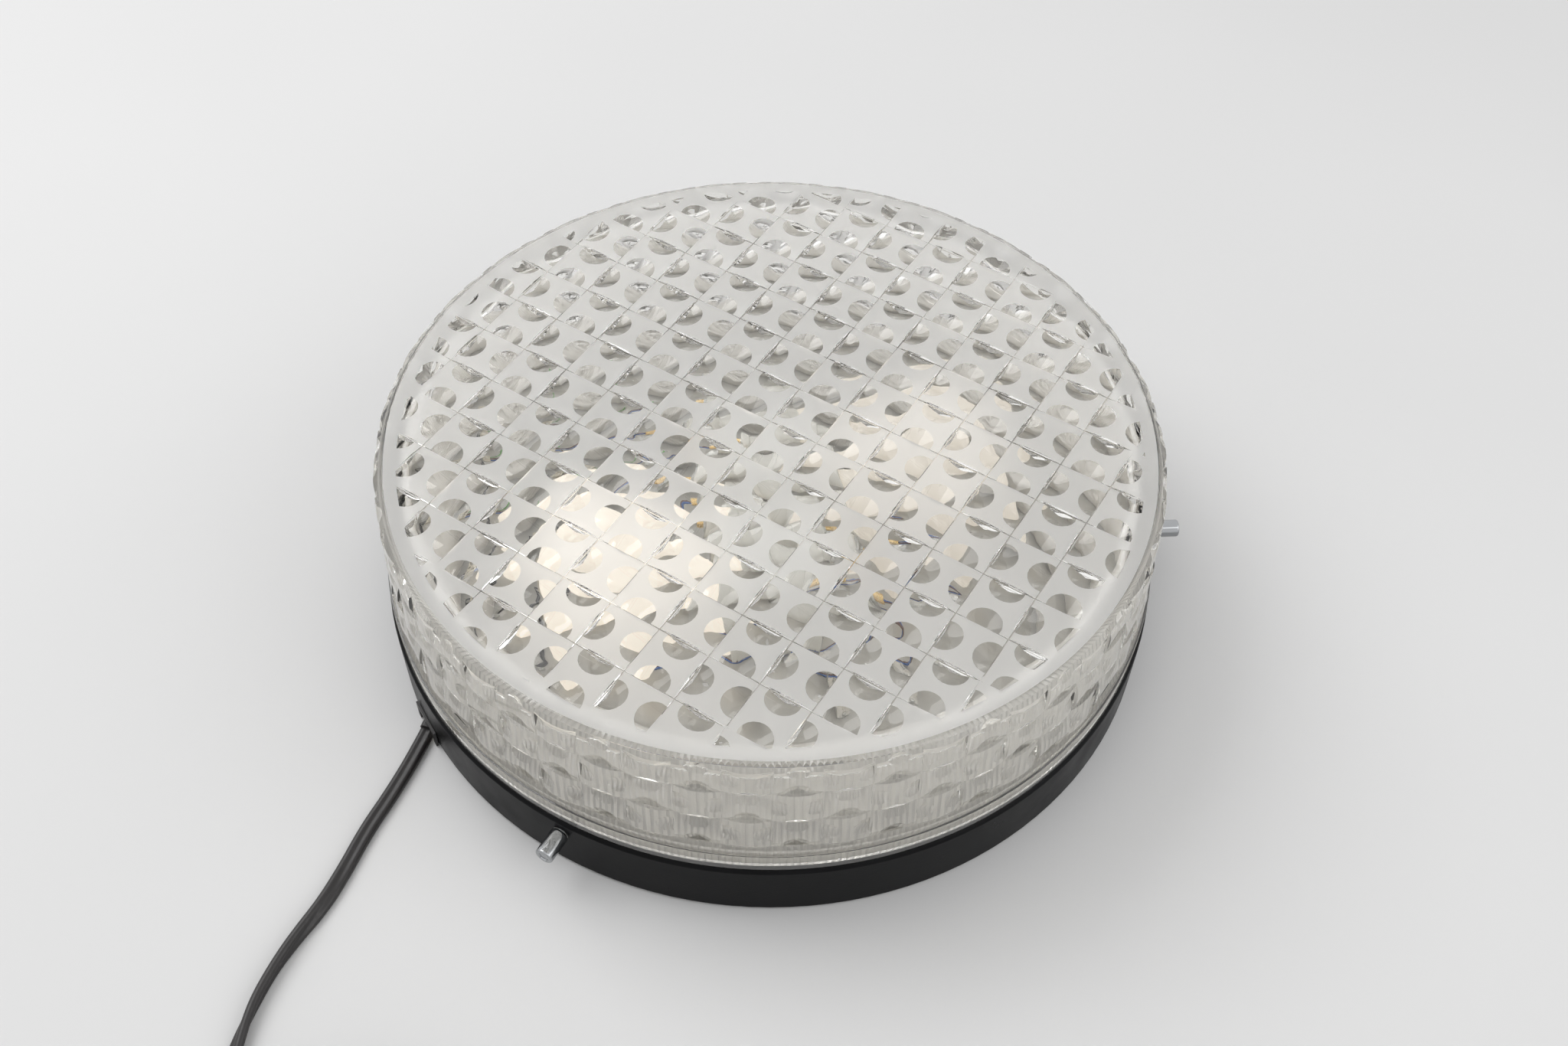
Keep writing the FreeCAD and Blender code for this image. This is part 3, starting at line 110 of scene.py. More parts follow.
class FinishSettings(bpy.types.PropertyGroup):
    enamel: bpy.props.FloatVectorProperty(
        name="Base enamel", description="Stoved enamel outside the base",
        subtype="COLOR", size=3, min=0, max=1, default=(0.006, 0.006, 0.0065))
    reflector: bpy.props.FloatVectorProperty(
        name="Reflector enamel", description="Pale enamel inside the base",
        subtype="COLOR", size=3, min=0, max=1, default=(0.55, 0.54, 0.51))
    flex: bpy.props.FloatVectorProperty(
        name="Flex colour", description="Sheath of the flex",
        subtype="COLOR", size=3, min=0, max=1, default=(0.016, 0.014, 0.014))
    glow: bpy.props.FloatVectorProperty(
        name="Bulb glow", description="Colour of the lit bulbs",
        subtype="COLOR", size=3, min=0, max=1, default=(1.0, 0.90, 0.76))
    first_glow: bpy.props.FloatProperty(
        name="First bulb", description="Strength of the brighter bulb", default=0.68)
    second_glow: bpy.props.FloatProperty(
        name="Second bulb", description="Strength of the weaker bulb", default=0.45)


class StudioSettings(bpy.types.PropertyGroup):
    floor: bpy.props.FloatVectorProperty(
        name="Floor colour", description="Plain pale floor",
        subtype="COLOR", size=3, min=0, max=1, default=(0.80, 0.80, 0.80))
    daylight: bpy.props.FloatProperty(
        name="Sky strength", description="Strength of the even light all round", default=0.58)
    key_power: bpy.props.FloatProperty(
        name="Key lamp", description="Power of the large soft lamp",
        default=11.0, unit="POWER")


def settings():
    return bpy.context.scene.ceiling_light


# Modelling helpers

def deselect_all():
    active = bpy.context.view_layer.objects.active
    if active and active.mode != "OBJECT":
        bpy.ops.object.mode_set(mode="OBJECT")
    bpy.ops.object.select_all(action="DESELECT")


def select_only(obj):
    deselect_all()
    obj.select_set(True)
    bpy.context.view_layer.objects.active = obj


def pick(obj, test, kind):
    """Selects the vertices or edges whose place passes a test, and goes into edit mode."""
    bpy.ops.object.mode_set(mode="OBJECT")
    mesh = obj.data
    for group in (mesh.vertices, mesh.edges, mesh.polygons):
        for item in group:
            item.select = False
    if kind == "VERT":
        for vertex in mesh.vertices:
            vertex.select = bool(test(vertex.co))
    else:
        for edge in mesh.edges:
            ends = [mesh.vertices[i].co for i in edge.vertices]
            edge.select = bool(test(*ends))
    bpy.ops.object.mode_set(mode="EDIT")
    bpy.ops.mesh.select_mode(type=kind)


def close_up(obj):
    """Leaves edit mode with every normal pointing outwards."""
    bpy.ops.object.mode_set(mode="EDIT")
    bpy.ops.mesh.select_all(action="SELECT")
    bpy.ops.mesh.normals_make_consistent(inside=False)
    bpy.ops.mesh.select_all(action="DESELECT")
    bpy.ops.object.mode_set(mode="OBJECT")
    return obj


def combine(obj, tool, operation):
    """Joins, cuts or trims one closed shape with another, and drops the tool."""
    select_only(obj)
    modifier = obj.modifiers.new("boolean", "BOOLEAN")
    modifier.operation = operation
    modifier.object = tool
    modifier.solver = "MANIFOLD"
    bpy.ops.object.modifier_apply(modifier=modifier.name)
    bpy.data.objects.remove(tool)


def turned(name, profile, steps):
    """A closed solid of revolution: a disc whose rim is drawn out ring by ring."""
    deselect_all()
    radius, height = profile[0]
    bpy.ops.mesh.primitive_circle_add(vertices=steps, radius=radius, fill_type="NGON")
    obj = bpy.context.object
    obj.name = name
    bpy.ops.object.mode_set(mode="EDIT")
    bpy.ops.mesh.select_all(action="SELECT")
    bpy.ops.transform.translate(value=(0, 0, height))
    bpy.ops.mesh.select_mode(type="EDGE")
    for next_radius, next_height in profile[1:]:
        bpy.ops.mesh.extrude_edges_move(
            TRANSFORM_OT_translate={"value": (0, 0, next_height - height)})
        grow = next_radius / radius
        bpy.ops.transform.resize(value=(grow, grow, 1), center_override=(0, 0, next_height))
        radius, height = next_radius, next_height
    bpy.ops.mesh.edge_face_add()
    return close_up(obj)


def drum(radius, low, high, steps):
    """A plain closed drum between two heights."""
    deselect_all()
    bpy.ops.mesh.primitive_cylinder_add(vertices=steps, radius=radius, depth=high - low,
                                        location=(0, 0, (low + high) / 2))
    bpy.ops.object.transform_apply(location=True, rotation=False, scale=False)
    return bpy.context.object


def copies(model, places):
    """One object of many copies, each with its own mesh. The model is dropped."""
    deselect_all()
    made = []
    for place in places:
        mesh = model.data.copy()
        mesh.transform(place)
        made.append(bpy.data.objects.new(model.name, mesh))
        bpy.context.scene.collection.objects.link(made[-1])
        made[-1].select_set(True)
    bpy.context.view_layer.objects.active = made[0]
    bpy.ops.object.join()
    bpy.data.objects.remove(model)
    return made[0]


def metres(outline):
    """An outline that is given in millimetres, in metres."""
    return [(radius * MM, height * MM) for radius, height in outline]


def arc(centre, radius, start, stop, steps):
    """Points of an arc in a profile, its first point left out. Angles are in degrees."""
    angles = [math.radians(start + (stop - start) * k / steps) for k in range(1, steps + 1)]
    return [(centre[0] + radius * math.cos(a), centre[1] + radius * math.sin(a)) for a in angles]


def eased(amount, share):
    """What is reached of an amount at a share of the way, with a soft start and end."""
    return amount * share * share * (3 - 2 * share)


# Materials

def new_material(name):
    material = bpy.data.materials.new(name)
    material.use_nodes = True
    return material, material.node_tree, material.node_tree.nodes["Principled BSDF"]


def set_sockets(shader, **values):
    """Sets the shader's sockets by name. A colour gets its fourth channel here."""
    for name, value in values.items():
        socket = shader.inputs[name.replace("_", " ")]
        socket.default_value = (*value, 1) if hasattr(value, "__len__") else value


def noise(tree, scale, detail=3.0):
    """Noise in object space, with features of about 1/scale metres."""
    place = tree.nodes.new("ShaderNodeTexCoord")
    texture = tree.nodes.new("ShaderNodeTexNoise")
    texture.inputs["Scale"].default_value = scale
    texture.inputs["Detail"].default_value = detail
    tree.links.new(place.outputs["Object"], texture.inputs["Vector"])
    return texture.outputs["Fac"]


def spread(tree, value, low, high, start=0.3, stop=0.7):
    """Maps a value to a range."""
    node = tree.nodes.new("ShaderNodeMapRange")
    node.inputs["From Min"].default_value = start
    node.inputs["From Max"].default_value = stop
    node.inputs["To Min"].default_value = low
    node.inputs["To Max"].default_value = high
    tree.links.new(value, node.inputs["Value"])
    return node.outputs["Result"]


def blend_colours(tree, value, first, second):
    """Goes from one colour to another, each of them fixed or the output of a node."""
    node = tree.nodes.new("ShaderNodeMix")
    node.data_type = "RGBA"
    tree.links.new(value, node.inputs["Factor"])
    for socket, colour in ((node.inputs[6], first), (node.inputs[7], second)):
        if hasattr(colour, "__len__"):
            socket.default_value = (*colour, 1)
        else:
            tree.links.new(colour, socket)
    return node.outputs[2]


def roughen(tree, shader, height, distance, strength=1.0):
    node = tree.nodes.new("ShaderNodeBump")
    node.inputs["Strength"].default_value = strength
    node.inputs["Distance"].default_value = distance
    tree.links.new(height, node.inputs["Height"])
    tree.links.new(node.outputs["Normal"], shader.inputs["Normal"])


def shade(colour, factor):
    return tuple(min(1.0, part * factor) for part in colour)


def seen_rays(tree):
    """1 for the rays that show the background: from the camera, and through gloss and glass."""
    rays = tree.nodes.new("ShaderNodeLightPath")
    seen = rays.outputs["Is Camera Ray"]
    for output in ("Is Glossy Ray", "Is Transmission Ray"):
        most = tree.nodes.new("ShaderNodeMath")
        most.operation = "MAXIMUM"
        tree.links.new(seen, most.inputs[0])
        tree.links.new(rays.outputs[output], most.inputs[1])
        seen = most.outputs[0]
    return seen


def plain_finish(name, colour, gloss, grain, depth, metal=0.0, contrast=0.15, **sockets):
    """A finish with mottled colour, uneven gloss and a fine grain.

    gloss is the range of roughness, grain the size of the features and depth their height.
    """
    material, tree, shader = new_material(name)
    set_sockets(shader, Metallic=metal, **sockets)
    cloud = noise(tree, 0.25 / grain, detail=2.0)
    fine = noise(tree, 1.0 / grain, detail=4.0)
    pale, dark = shade(colour, 1 + contrast), shade(colour, 1 - contrast)
    factor = spread(tree, cloud, 0.0, 1.0)
    tree.links.new(blend_colours(tree, factor, dark, pale), shader.inputs["Base Color"])
    tree.links.new(spread(tree, fine, *gloss), shader.inputs["Roughness"])
    roughen(tree, shader, fine, depth)
    return material


def glass_finish(name, colour, gloss, grain, depth, clearness=1.0):
    """Glass that lets a share of the light through, its clearness, and scatters the rest back.

    gloss is the range of roughness, grain the size of the features and depth their height.
    """
    material, tree, shader = new_material(name)
    set_sockets(shader, Base_Color=colour, Transmission_Weight=clearness, IOR=1.5)
    fine = noise(tree, 1.0 / grain)
    tree.links.new(spread(tree, fine, *gloss), shader.inputs["Roughness"])
    roughen(tree, shader, fine, depth)
    return material


def base_enamel(outside, inside, wall_radius, low, high):
    """Dark enamel with a pale inside, parted by radius and height."""
    material, tree, shader = new_material("stoved_enamel")
    set_sockets(shader, Specular_IOR_Level=0.06)
    place = tree.nodes.new("ShaderNodeTexCoord")
    parts = tree.nodes.new("ShaderNodeSeparateXYZ")
    tree.links.new(place.outputs["Object"], parts.inputs["Vector"])

    def maths(operation, first, second):
        node = tree.nodes.new("ShaderNodeMath")
        node.operation = operation
        for socket, value in zip(node.inputs, (first, second)):
            if isinstance(value, float):
                socket.default_value = value
            else:
                tree.links.new(value, socket)
        return node.outputs[0]

    across = maths("ADD", maths("MULTIPLY", parts.outputs["X"], parts.outputs["X"]),
                   maths("MULTIPLY", parts.outputs["Y"], parts.outputs["Y"]))
    near = maths("LESS_THAN", across, wall_radius ** 2)
    above = maths("GREATER_THAN", parts.outputs["Z"], low)
    below = maths("LESS_THAN", parts.outputs["Z"], high)
    within = maths("MULTIPLY", near, maths("MULTIPLY", above, below))
    peel = noise(tree, scale=900.0, detail=2.0)
    wear = noise(tree, scale=60.0, detail=5.0)
    cloud = spread(tree, wear, 0.0, 1.0)
    dark = blend_colours(tree, cloud, shade(outside, 0.8), shade(outside, 1.5))
    pale = blend_colours(tree, cloud, shade(inside, 0.96), shade(inside, 1.02))
    tree.links.new(blend_colours(tree, within, dark, pale), shader.inputs["Base Color"])
    tree.links.new(spread(tree, wear, 0.26, 0.40), shader.inputs["Roughness"])
    roughen(tree, shader, peel, distance=0.03 * MM, strength=0.6)
    return material


def lit_bulb(name, colour, strength):
    """Frosted bulb glass that glows."""
    material, tree, shader = new_material(name)
    set_sockets(shader, Base_Color=(0.45, 0.44, 0.42),
                Emission_Color=colour, Emission_Strength=strength)
    fine = noise(tree, scale=700.0)
    tree.links.new(spread(tree, fine, 0.16, 0.26), shader.inputs["Roughness"])
    roughen(tree, shader, fine, distance=0.01 * MM, strength=0.4)
    return material


def paint(material, *names):
    """Gives a finish to CAD nodes."""
    for name in names:
        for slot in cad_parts[name].material_slots:
            slot.material = material


# Operators

class LIGHT_OT_studio(bpy.types.Operator):
    """Adds the floor, the soft lamps, the sky and the camera"""
    bl_idname = "ceiling_light.studio"
    bl_label = "Studio and camera"

    floor_size = 9
    # How far from the light's middle the floor begins to fade, and where it is white
    fade_start, fade_end = 0.9, 2.4
    # Each soft lamp's name, place, size and share of the key lamp's power
    lamps = (("key_lamp", (-0.9, 0.5, 1.3), 1.1, 1.0),
             ("fill_lamp", (1.1, -0.5, 0.9), 1.2, 0.45))
    # Width of the film and focal length in millimetres, the camera's place, and its picture's axes
    film_width, focal_length = 36, 37.02
    camera_place = Vector((0, -0.408528, 0.529647))
    picture_right = Vector((0.99987515, 0.00513787, 0.01494257))
    picture_up = Vector((-0.01345611, 0.77259195, 0.63476028))
    picture_ahead = Vector((0.0082832, 0.6348821, -0.77256463))

    def fade_floor(self, tree, shader):
        """Lets the floor go over into the white background, far away from the light."""
        place = tree.nodes.new("ShaderNodeTexCoord")
        length = tree.nodes.new("ShaderNodeVectorMath")
        length.operation = "LENGTH"
        tree.links.new(place.outputs["Object"], length.inputs[0])
        far = spread(tree, length.outputs["Value"], 0.0, 1.0, self.fade_start, self.fade_end)
        share = tree.nodes.new("ShaderNodeMath")
        share.operation = "MULTIPLY"
        tree.links.new(far, share.inputs[0])
        tree.links.new(seen_rays(tree), share.inputs[1])
        white = tree.nodes.new("ShaderNodeEmission")
        both = tree.nodes.new("ShaderNodeMixShader")
        tree.links.new(share.outputs[0], both.inputs["Fac"])
        tree.links.new(shader.outputs["BSDF"], both.inputs[1])
        tree.links.new(white.outputs["Emission"], both.inputs[2])
        tree.links.new(both.outputs["Shader"], tree.nodes["Material Output"].inputs["Surface"])

    def execute(self, context):
        look = settings().studio
        deselect_all()
        bpy.ops.mesh.primitive_plane_add(size=self.floor_size)
        floor = context.object
        floor.name = "studio_floor"
        material, tree, shader = new_material("floor_paper")
        set_sockets(shader, Roughness=0.85, Specular_IOR_Level=0.2)
        cloud = spread(tree, noise(tree, scale=3.0, detail=2.0), 0.0, 1.0)
        colours = (shade(look.floor, 0.985), shade(look.floor, 1.015))
        tree.links.new(blend_colours(tree, cloud, *colours), shader.inputs["Base Color"])
        self.fade_floor(tree, shader)
        floor.data.materials.append(material)

        for name, place, size, share in self.lamps:
            lamp = bpy.data.lights.new(name, "AREA")
            lamp.size = size
            lamp.energy = look.key_power * share
            obj = bpy.data.objects.new(name, lamp)
            context.scene.collection.objects.link(obj)
            obj.location = place
            obj.rotation_euler = (-Vector(place)).to_track_quat("-Z", "Y").to_euler()

        world = bpy.data.worlds.new("studio")
        context.scene.world = world
        world.use_nodes = True
        tree = world.node_tree
        sky = tree.nodes["Background"]
        sky.inputs["Color"].default_value = (1, 1, 1, 1)
        strength = spread(tree, seen_rays(tree), look.daylight, 1.0, 0.0, 1.0)
        tree.links.new(strength, sky.inputs["Strength"])

        camera = bpy.data.cameras.new("photo_camera")
        camera.sensor_width = self.film_width
        camera.lens = self.focal_length
        camera.clip_start = 0.01
        obj = bpy.data.objects.new("photo_camera", camera)
        context.scene.collection.objects.link(obj)
        place = Matrix((self.picture_right, self.picture_up, -self.picture_ahead)).transposed().to_4x4()
        place.translation = self.camera_place
        obj.matrix_world = place
        context.scene.camera = obj
        context.scene.view_settings.view_transform = "Standard"
        return {"FINISHED"}


class LIGHT_OT_flex(bpy.types.Operator):
    """Lays the flat twin flex from the base to its plug"""
    bl_idname = "ceiling_light.flex"
    bl_label = "Flex"

    # Where the flex leaves the base, and its route on from there in millimetres
    start = Vector((-129.70, -79.60, 3.0)) * MM
    lead = [(0, 0), (-3.8, -12.6), (-9.9, -28.9), (-15.9, -42.4), (-21.2, -58.9), (-26.3, -72.9),
            (-34.7, -88.0), (-40.3, -100.9), (-44.2, -115.4), (-46.7, -133.4), (-47.3, -153.4)]
    # The way into the coil, and from its last turn to the plug in millimetres
    coil_entry = Vector((-177, -254, 4.1)) * MM
    way_out = [(-125.5, -303.85, 10.7), (-113.5, -303.85, 10.7), (-97.9, -304.85, 6.85),
               (-85.9, -304.85, 6.85)]
    # The coil of the put-away length winds inwards, climbs to its second layer and winds outwards,
    # each for a number of turns
    coil_centre = Vector((-131.5, -260.0, 0)) * MM
    coil_in, coil_climb, coil_out = 2.5, 0.5, 2.25
    coil_inner, coil_pitch, coil_low = 27.35 * MM, 6.6 * MM, 4.1 * MM
    points_a_turn = 16
    # Share of the way from the base, and turns of the flat side
    twist = [(0.0, 0.0), (0.04, 0.03), (0.078, 0.25), (0.105, 0.47), (0.13, 0.75), (0.968, 0.75),
             (1.0, 1.0)]
    # Length before the plug over which the flex comes up to the plug's axis
    plug_rise = 0.04
    # Directions in degrees from a core's middle, in which its sheath is free
    core_arc = range(-125, 126, 25)
    crease = math.radians(50)

    def coil_point(self, turns):
        """A point of the route after some turns of the coil."""
        middle = self.coil_in + self.coil_climb / 2
        radius = self.coil_inner + self.coil_pitch * abs(turns - middle)
        share = min(max((turns - self.coil_in) / self.coil_climb, 0), 1)
        height = self.coil_low + eased(self.coil_pitch, share)
        angle = math.pi + 2 * math.pi * turns
        # The spline runs inside its control points
        radius /= math.cos(math.pi / self.points_a_turn)
        return self.coil_centre + Vector((radius * math.cos(angle), radius * math.sin(angle), height))

    def route(self):
        """The control points of the flex, from the base to the plug."""
        points = [self.start + Vector((x, y, 0)) * MM for x, y in self.lead]
        points[-1].z = self.coil_low
        points.append(self.coil_entry)
        total = self.coil_in + self.coil_climb + self.coil_out
        count = int(total * self.points_a_turn)
        points += [self.coil_point((k + 0.5) / self.points_a_turn) for k in range(count)]
        points += [Vector(place) * MM for place in self.way_out]
        return points

    def smooth_line(self):
        """Points read from the smooth spline that has the route as its control points."""
        curve = bpy.data.curves.new("flex_line", "CURVE")
        curve.dimensions = "3D"
        spline = curve.splines.new("NURBS")
        route = self.route()
        spline.points.add(len(route) - 1)
        for point, place in zip(spline.points, route):
            point.co = (*place, 1)
        spline.order_u = 3
        spline.use_endpoint_u = True
        spline.resolution_u = 8
        obj = bpy.data.objects.new("flex_line", curve)
        bpy.context.scene.collection.objects.link(obj)
        bpy.context.view_layer.update()
        evaluated = obj.evaluated_get(bpy.context.evaluated_depsgraph_get())
        mesh = bpy.data.meshes.new_from_object(evaluated)
        line = [v.co.copy() for v in mesh.vertices]
        bpy.data.objects.remove(obj)
        bpy.data.meshes.remove(mesh)
        return line

    def turn_at(self, share):
        """How far the flat side has turned about the flex's line, at a share of the way."""
        for (low, first), (high, second) in zip(self.twist, self.twist[1:]):
            if share <= high:
                part = (share - low) / (high - low)
                return 2 * math.pi * (first + eased(second - first, part))
        return 2 * math.pi * self.twist[-1][1]

    def section(self, width, thickness):
        """Outline of the twin section: two round cores with a groove between them."""
        radius = thickness / 2
        offset = width / 2 - radius
        outline = []
        for side, facing in ((1, 0), (-1, 180)):
            for direction in self.core_arc:
                angle = math.radians(facing + direction)
                outline.append((side * offset + radius * math.cos(angle), radius * math.sin(angle)))
        return outline

    def execute(self, context):
        sizes = settings().flex
        line = self.smooth_line()
        outline = self.section(sizes.width, sizes.thickness)
        steps = [(b - a).length for a, b in zip(line, line[1:])]
        total = sum(steps)
        vertices, faces, run = [], [], 0.0
        for index, point in enumerate(line):
            along = (line[min(index + 1, len(line) - 1)] - line[max(index - 1, 0)]).normalized()
            side = along.cross(UP).normalized()
            over = side.cross(along)
            turn = self.turn_at(run / total)
            # The line is the middle of a round cord, and where the flex lies flat it is let down
            half = (sizes.thickness + (sizes.width - sizes.thickness) * abs(math.sin(turn))) / 2
            drop = (sizes.width / 2 - half) * min(1.0, (total - run) / self.plug_rise)
            for x, y in outline:
                across = x * math.cos(turn) - y * math.sin(turn)
                above = x * math.sin(turn) + y * math.cos(turn)
                vertices.append(point + side * across + over * above - UP * drop)
            run += steps[index] if index < len(steps) else 0
        size = len(outline)
        for row in range(len(line) - 1):
            for k in range(size):
                a, b = row * size + k, row * size + (k + 1) % size
                faces.append((a, b, b + size, a + size))
        faces.append(tuple(reversed(range(size))))
        faces.append(tuple(range((len(line) - 1) * size, len(line) * size)))
        mesh = bpy.data.meshes.new("twin_flex")
        mesh.from_pydata(vertices, [], faces)
        flex = bpy.data.objects.new("twin_flex", mesh)
        context.scene.collection.objects.link(flex)
        select_only(flex)
        close_up(flex)
        bpy.ops.object.shade_smooth_by_angle(angle=self.crease)
        mesh.materials.append(plain_finish("flex_sheath", settings().finish.flex, (0.32, 0.46),
                                           0.9 * MM, 0.02 * MM))
        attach(flex, "base")
        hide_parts("cord_lead", "cord_coil", "cord_end")
        return {"FINISHED"}


class LIGHT_OT_glass(bpy.types.Operator):
    """Presses the glass shade: a turned body, woven cushions, half moons and inner ribs"""
    bl_idname = "ceiling_light.glass"
    bl_label = "Glass shade"

    steps = 224
    crease = math.radians(16)
    # Levels of the face between its cushions and of the plain band round it, and heights that lie
    # below and above all of the face's relief
    lattice_level, band_level = 87.0 * MM, 87.7 * MM
    below_relief, above_relief = 80 * MM, 95 * MM
    # The drum's outline as radius and height in millimetres, down from the corner of the face
    corner_radius = 3.5
    wall_high, wall_low = (145.8, 84.2), (147.9, 41.0)
    rim_and_neck = [(149.0, 39.5), (149.0, 37.3), (149.2, 36.7), (149.8, 36.5), (150.0, 36.2),
                    (150.0, 28.0), (149.5, 27.5), (143.0, 27.5), (143.0, 13.0), (142.0, 12.0),
                    (139.5, 12.0), (138.5, 13.0), (137.1, 75.0)]
    bore_corner, bore_corner_radius = (132.1, 75.0), 5.0
    # Lattice columns and rows that cover the whole face
    face_columns, face_rows = range(-8, 14), range(-9, 13)
    groove_width, groove_depth = 0.44 * MM, 0.32 * MM
    # How deep a cushion is rooted in the glass, and how steeply its two straight sides fall
    root, side_slope = 1.0 * MM, 3.0
    # The height in a half moon goes with a power of the distance from its middle, and its tool has
    # rings at two shares of its radius
    moon_power, moon_rings = 1.3, (0.5, 1.15)
    # How far that tool stands over the cushions' foot, on the face
    face_moon_rise = 0.75 * MM
    # The wall's relief: pitch of its rows, place of its first column, and sizes
    row_pitch = 16.0 * MM
    wall_turn = math.radians(-89.3)
    wall_gap, wall_rise = 0.03 * MM, 1.25 * MM
    wall_moon_radius, wall_moon_depth = 6.2 * MM, 1.7 * MM
    # Where the wall's cushions and half moons begin, and the outline that bevels them off at the top,
    # in millimetres
    cushions_from, moons_from = 39.5, 41.2
    wall_bevel = [(149.8, 82.0), (147.2, 85.4), (143.6, 87.2)]
    # The ribs' flutes run from a foot up to a top, and the four corners round each are cut to shares
    # of the depth
    rib_foot, rib_foot_radius = 16 * MM, 138.5 * MM
    rib_top, rib_top_radius = 76 * MM, 137.14 * MM
    rib_depth, rib_corners = 0.4 * MM, (0.1, 0.75, 1.0, 0.75)
    # Where the finishes meet: the wall's begins at one radius, and the ribs' at the other, below the face
    wall_from, ribs_from, ribs_below = 140 * MM, 134 * MM, 80 * MM

    def body(self, field):
        """The drum, whose face rises from the lattice level to the plain band round it."""
        edge, level, band = field / MM, self.lattice_level / MM, self.band_level / MM
        corner = (self.wall_high[0] - self.corner_radius, band - self.corner_radius)
        # The rise to the band has a soft bend at each end
        soft = 0.12
        profile = [(edge - 13, level), (edge - 8, level + soft), (edge - 3, band - soft), (edge, band),
                   (corner[0], band)]
        profile += arc(corner, self.corner_radius, 90, 0, steps=8)
        profile += [self.wall_low, *self.rim_and_neck]
        profile += arc(self.bore_corner, self.bore_corner_radius, 0, 90, steps=8)
        return turned("pressed_glass", metres(profile), self.steps)

    def cushion(self, width, depth, height, strips):
        """A pillow that arches along its width and falls steeply at the other two sides."""
        deselect_all()
        bpy.ops.mesh.primitive_grid_add(x_subdivisions=strips, y_subdivisions=1, size=1)
        obj = bpy.context.object
        bpy.ops.object.mode_set(mode="EDIT")
        bpy.ops.mesh.select_all(action="SELECT")
        bpy.ops.transform.resize(value=(width, depth, 1))
        for k in range(1, strips):
            place = (k / strips - 0.5) * width
            pick(obj, lambda co: abs(co.x - place) < TINY, "VERT")
            bpy.ops.transform.translate(value=(0, 0, height * (1 - (2 * k / strips - 1) ** 2)))
        bpy.ops.mesh.select_all(action="SELECT")
        bpy.ops.mesh.extrude_region_move(
            TRANSFORM_OT_translate={"value": (0, 0, -self.root - height)})
        bpy.ops.transform.resize(value=(1, 1, 0), center_override=(0, 0, -self.root))
        for side in (1, -1):
            slope = Vector((0, side * self.side_slope, 1)).normalized()
            bpy.ops.mesh.select_all(action="SELECT")
            bpy.ops.mesh.bisect(plane_co=(0, side * depth / 2, 0), plane_no=slope,
                                use_fill=True, clear_outer=True)
        return close_up(obj)

    def half_moon(self, radius, depth, rise, sectors):
        """The half cone that presses a half moon, its chord in the plane x = 0."""
        def level(share):
            return -depth + (depth + rise) * share ** self.moon_power
        inner, outer = self.moon_rings
        deselect_all()
        bpy.ops.mesh.primitive_circle_add(vertices=sectors, radius=inner * radius, fill_type="TRIFAN")
        obj = bpy.context.object
        bpy.ops.object.mode_set(mode="EDIT")
        pick(obj, lambda co: co.length < TINY, "VERT")
        bpy.ops.transform.translate(value=(0, 0, -depth - level(inner)))
        ring = inner * radius - TINY
        pick(obj, lambda a, b: a.length > ring and b.length > ring, "EDGE")
        bpy.ops.mesh.extrude_edges_move(
            TRANSFORM_OT_translate={"value": (0, 0, level(outer) - level(inner))})
        bpy.ops.transform.resize(value=(outer / inner, outer / inner, 1), center_override=(0, 0, 0))
        bpy.ops.mesh.edge_face_add()
        bpy.ops.mesh.select_all(action="SELECT")
        bpy.ops.transform.translate(value=(0, 0, level(inner)))
        bpy.ops.mesh.bisect(plane_co=(0, 0, 0), plane_no=(1, 0, 0), use_fill=True, clear_outer=True)
        return close_up(obj)

    def weave_face(self, glass, sizes):
        """Cushions in alternate directions, with half moons at the ends of each."""
        pitch, turn = sizes.pitch, sizes.turn
        along = Vector((math.cos(turn), math.sin(turn), 0))
        across = Vector((math.sin(turn), -math.cos(turn), 0))
        foot = self.lattice_level + self.groove_depth
        cells = []
        for column in self.face_columns:
            for row in self.face_rows:
                centre = (along * (column + 0.5 - sizes.first_column)
                          + across * (row + 0.5 - sizes.first_row)) * pitch
                if centre.length < sizes.field_radius + 0.75 * pitch:
                    quarter = (column + row) % 2 * math.pi / 2
                    cells.append(Matrix.Translation(centre + UP * foot)
                                 @ Matrix.Rotation(turn + quarter, 4, "Z"))
        width = pitch - self.groove_width
        cushions = copies(self.cushion(width, width, sizes.cushion_height, strips=8), cells)
        moon = self.half_moon(sizes.scoop_radius, sizes.scoop_depth, self.face_moon_rise, sectors=24)
        reach = Matrix.Translation((width / 2, 0, 0))
        moons = copies(moon, [cell @ Matrix.Rotation(end, 4, "Z") @ reach
                              for cell in cells for end in (0, math.pi)])
        # Near the band the cushions are trimmed down to its level
        edge, band = sizes.field_radius, self.band_level
        crown = [(edge + 0.3 * MM, self.below_relief), (edge + 0.3 * MM, band - 0.05 * MM),
                 (edge - 3 * MM, band + 0.05 * MM), (edge - 12 * MM, band + 0.35 * MM),
                 (edge - 20 * MM, 89 * MM)]
        combine(cushions, turned("crown", crown, self.steps), "INTERSECT")
        field = drum(edge, self.below_relief, self.above_relief, self.steps)
        combine(moons, field, "INTERSECT")
        combine(glass, cushions, "UNION")
        combine(glass, moons, "DIFFERENCE")

    def weave_wall(self, glass, sizes):
        """Upright and level cushions in turn round the wall, with half moons at the ends of each."""
        step = 2 * math.pi / sizes.wall_columns
        low, high = self.wall_low, self.wall_high
        draft = (low[0] - high[0]) / (high[1] - low[1])
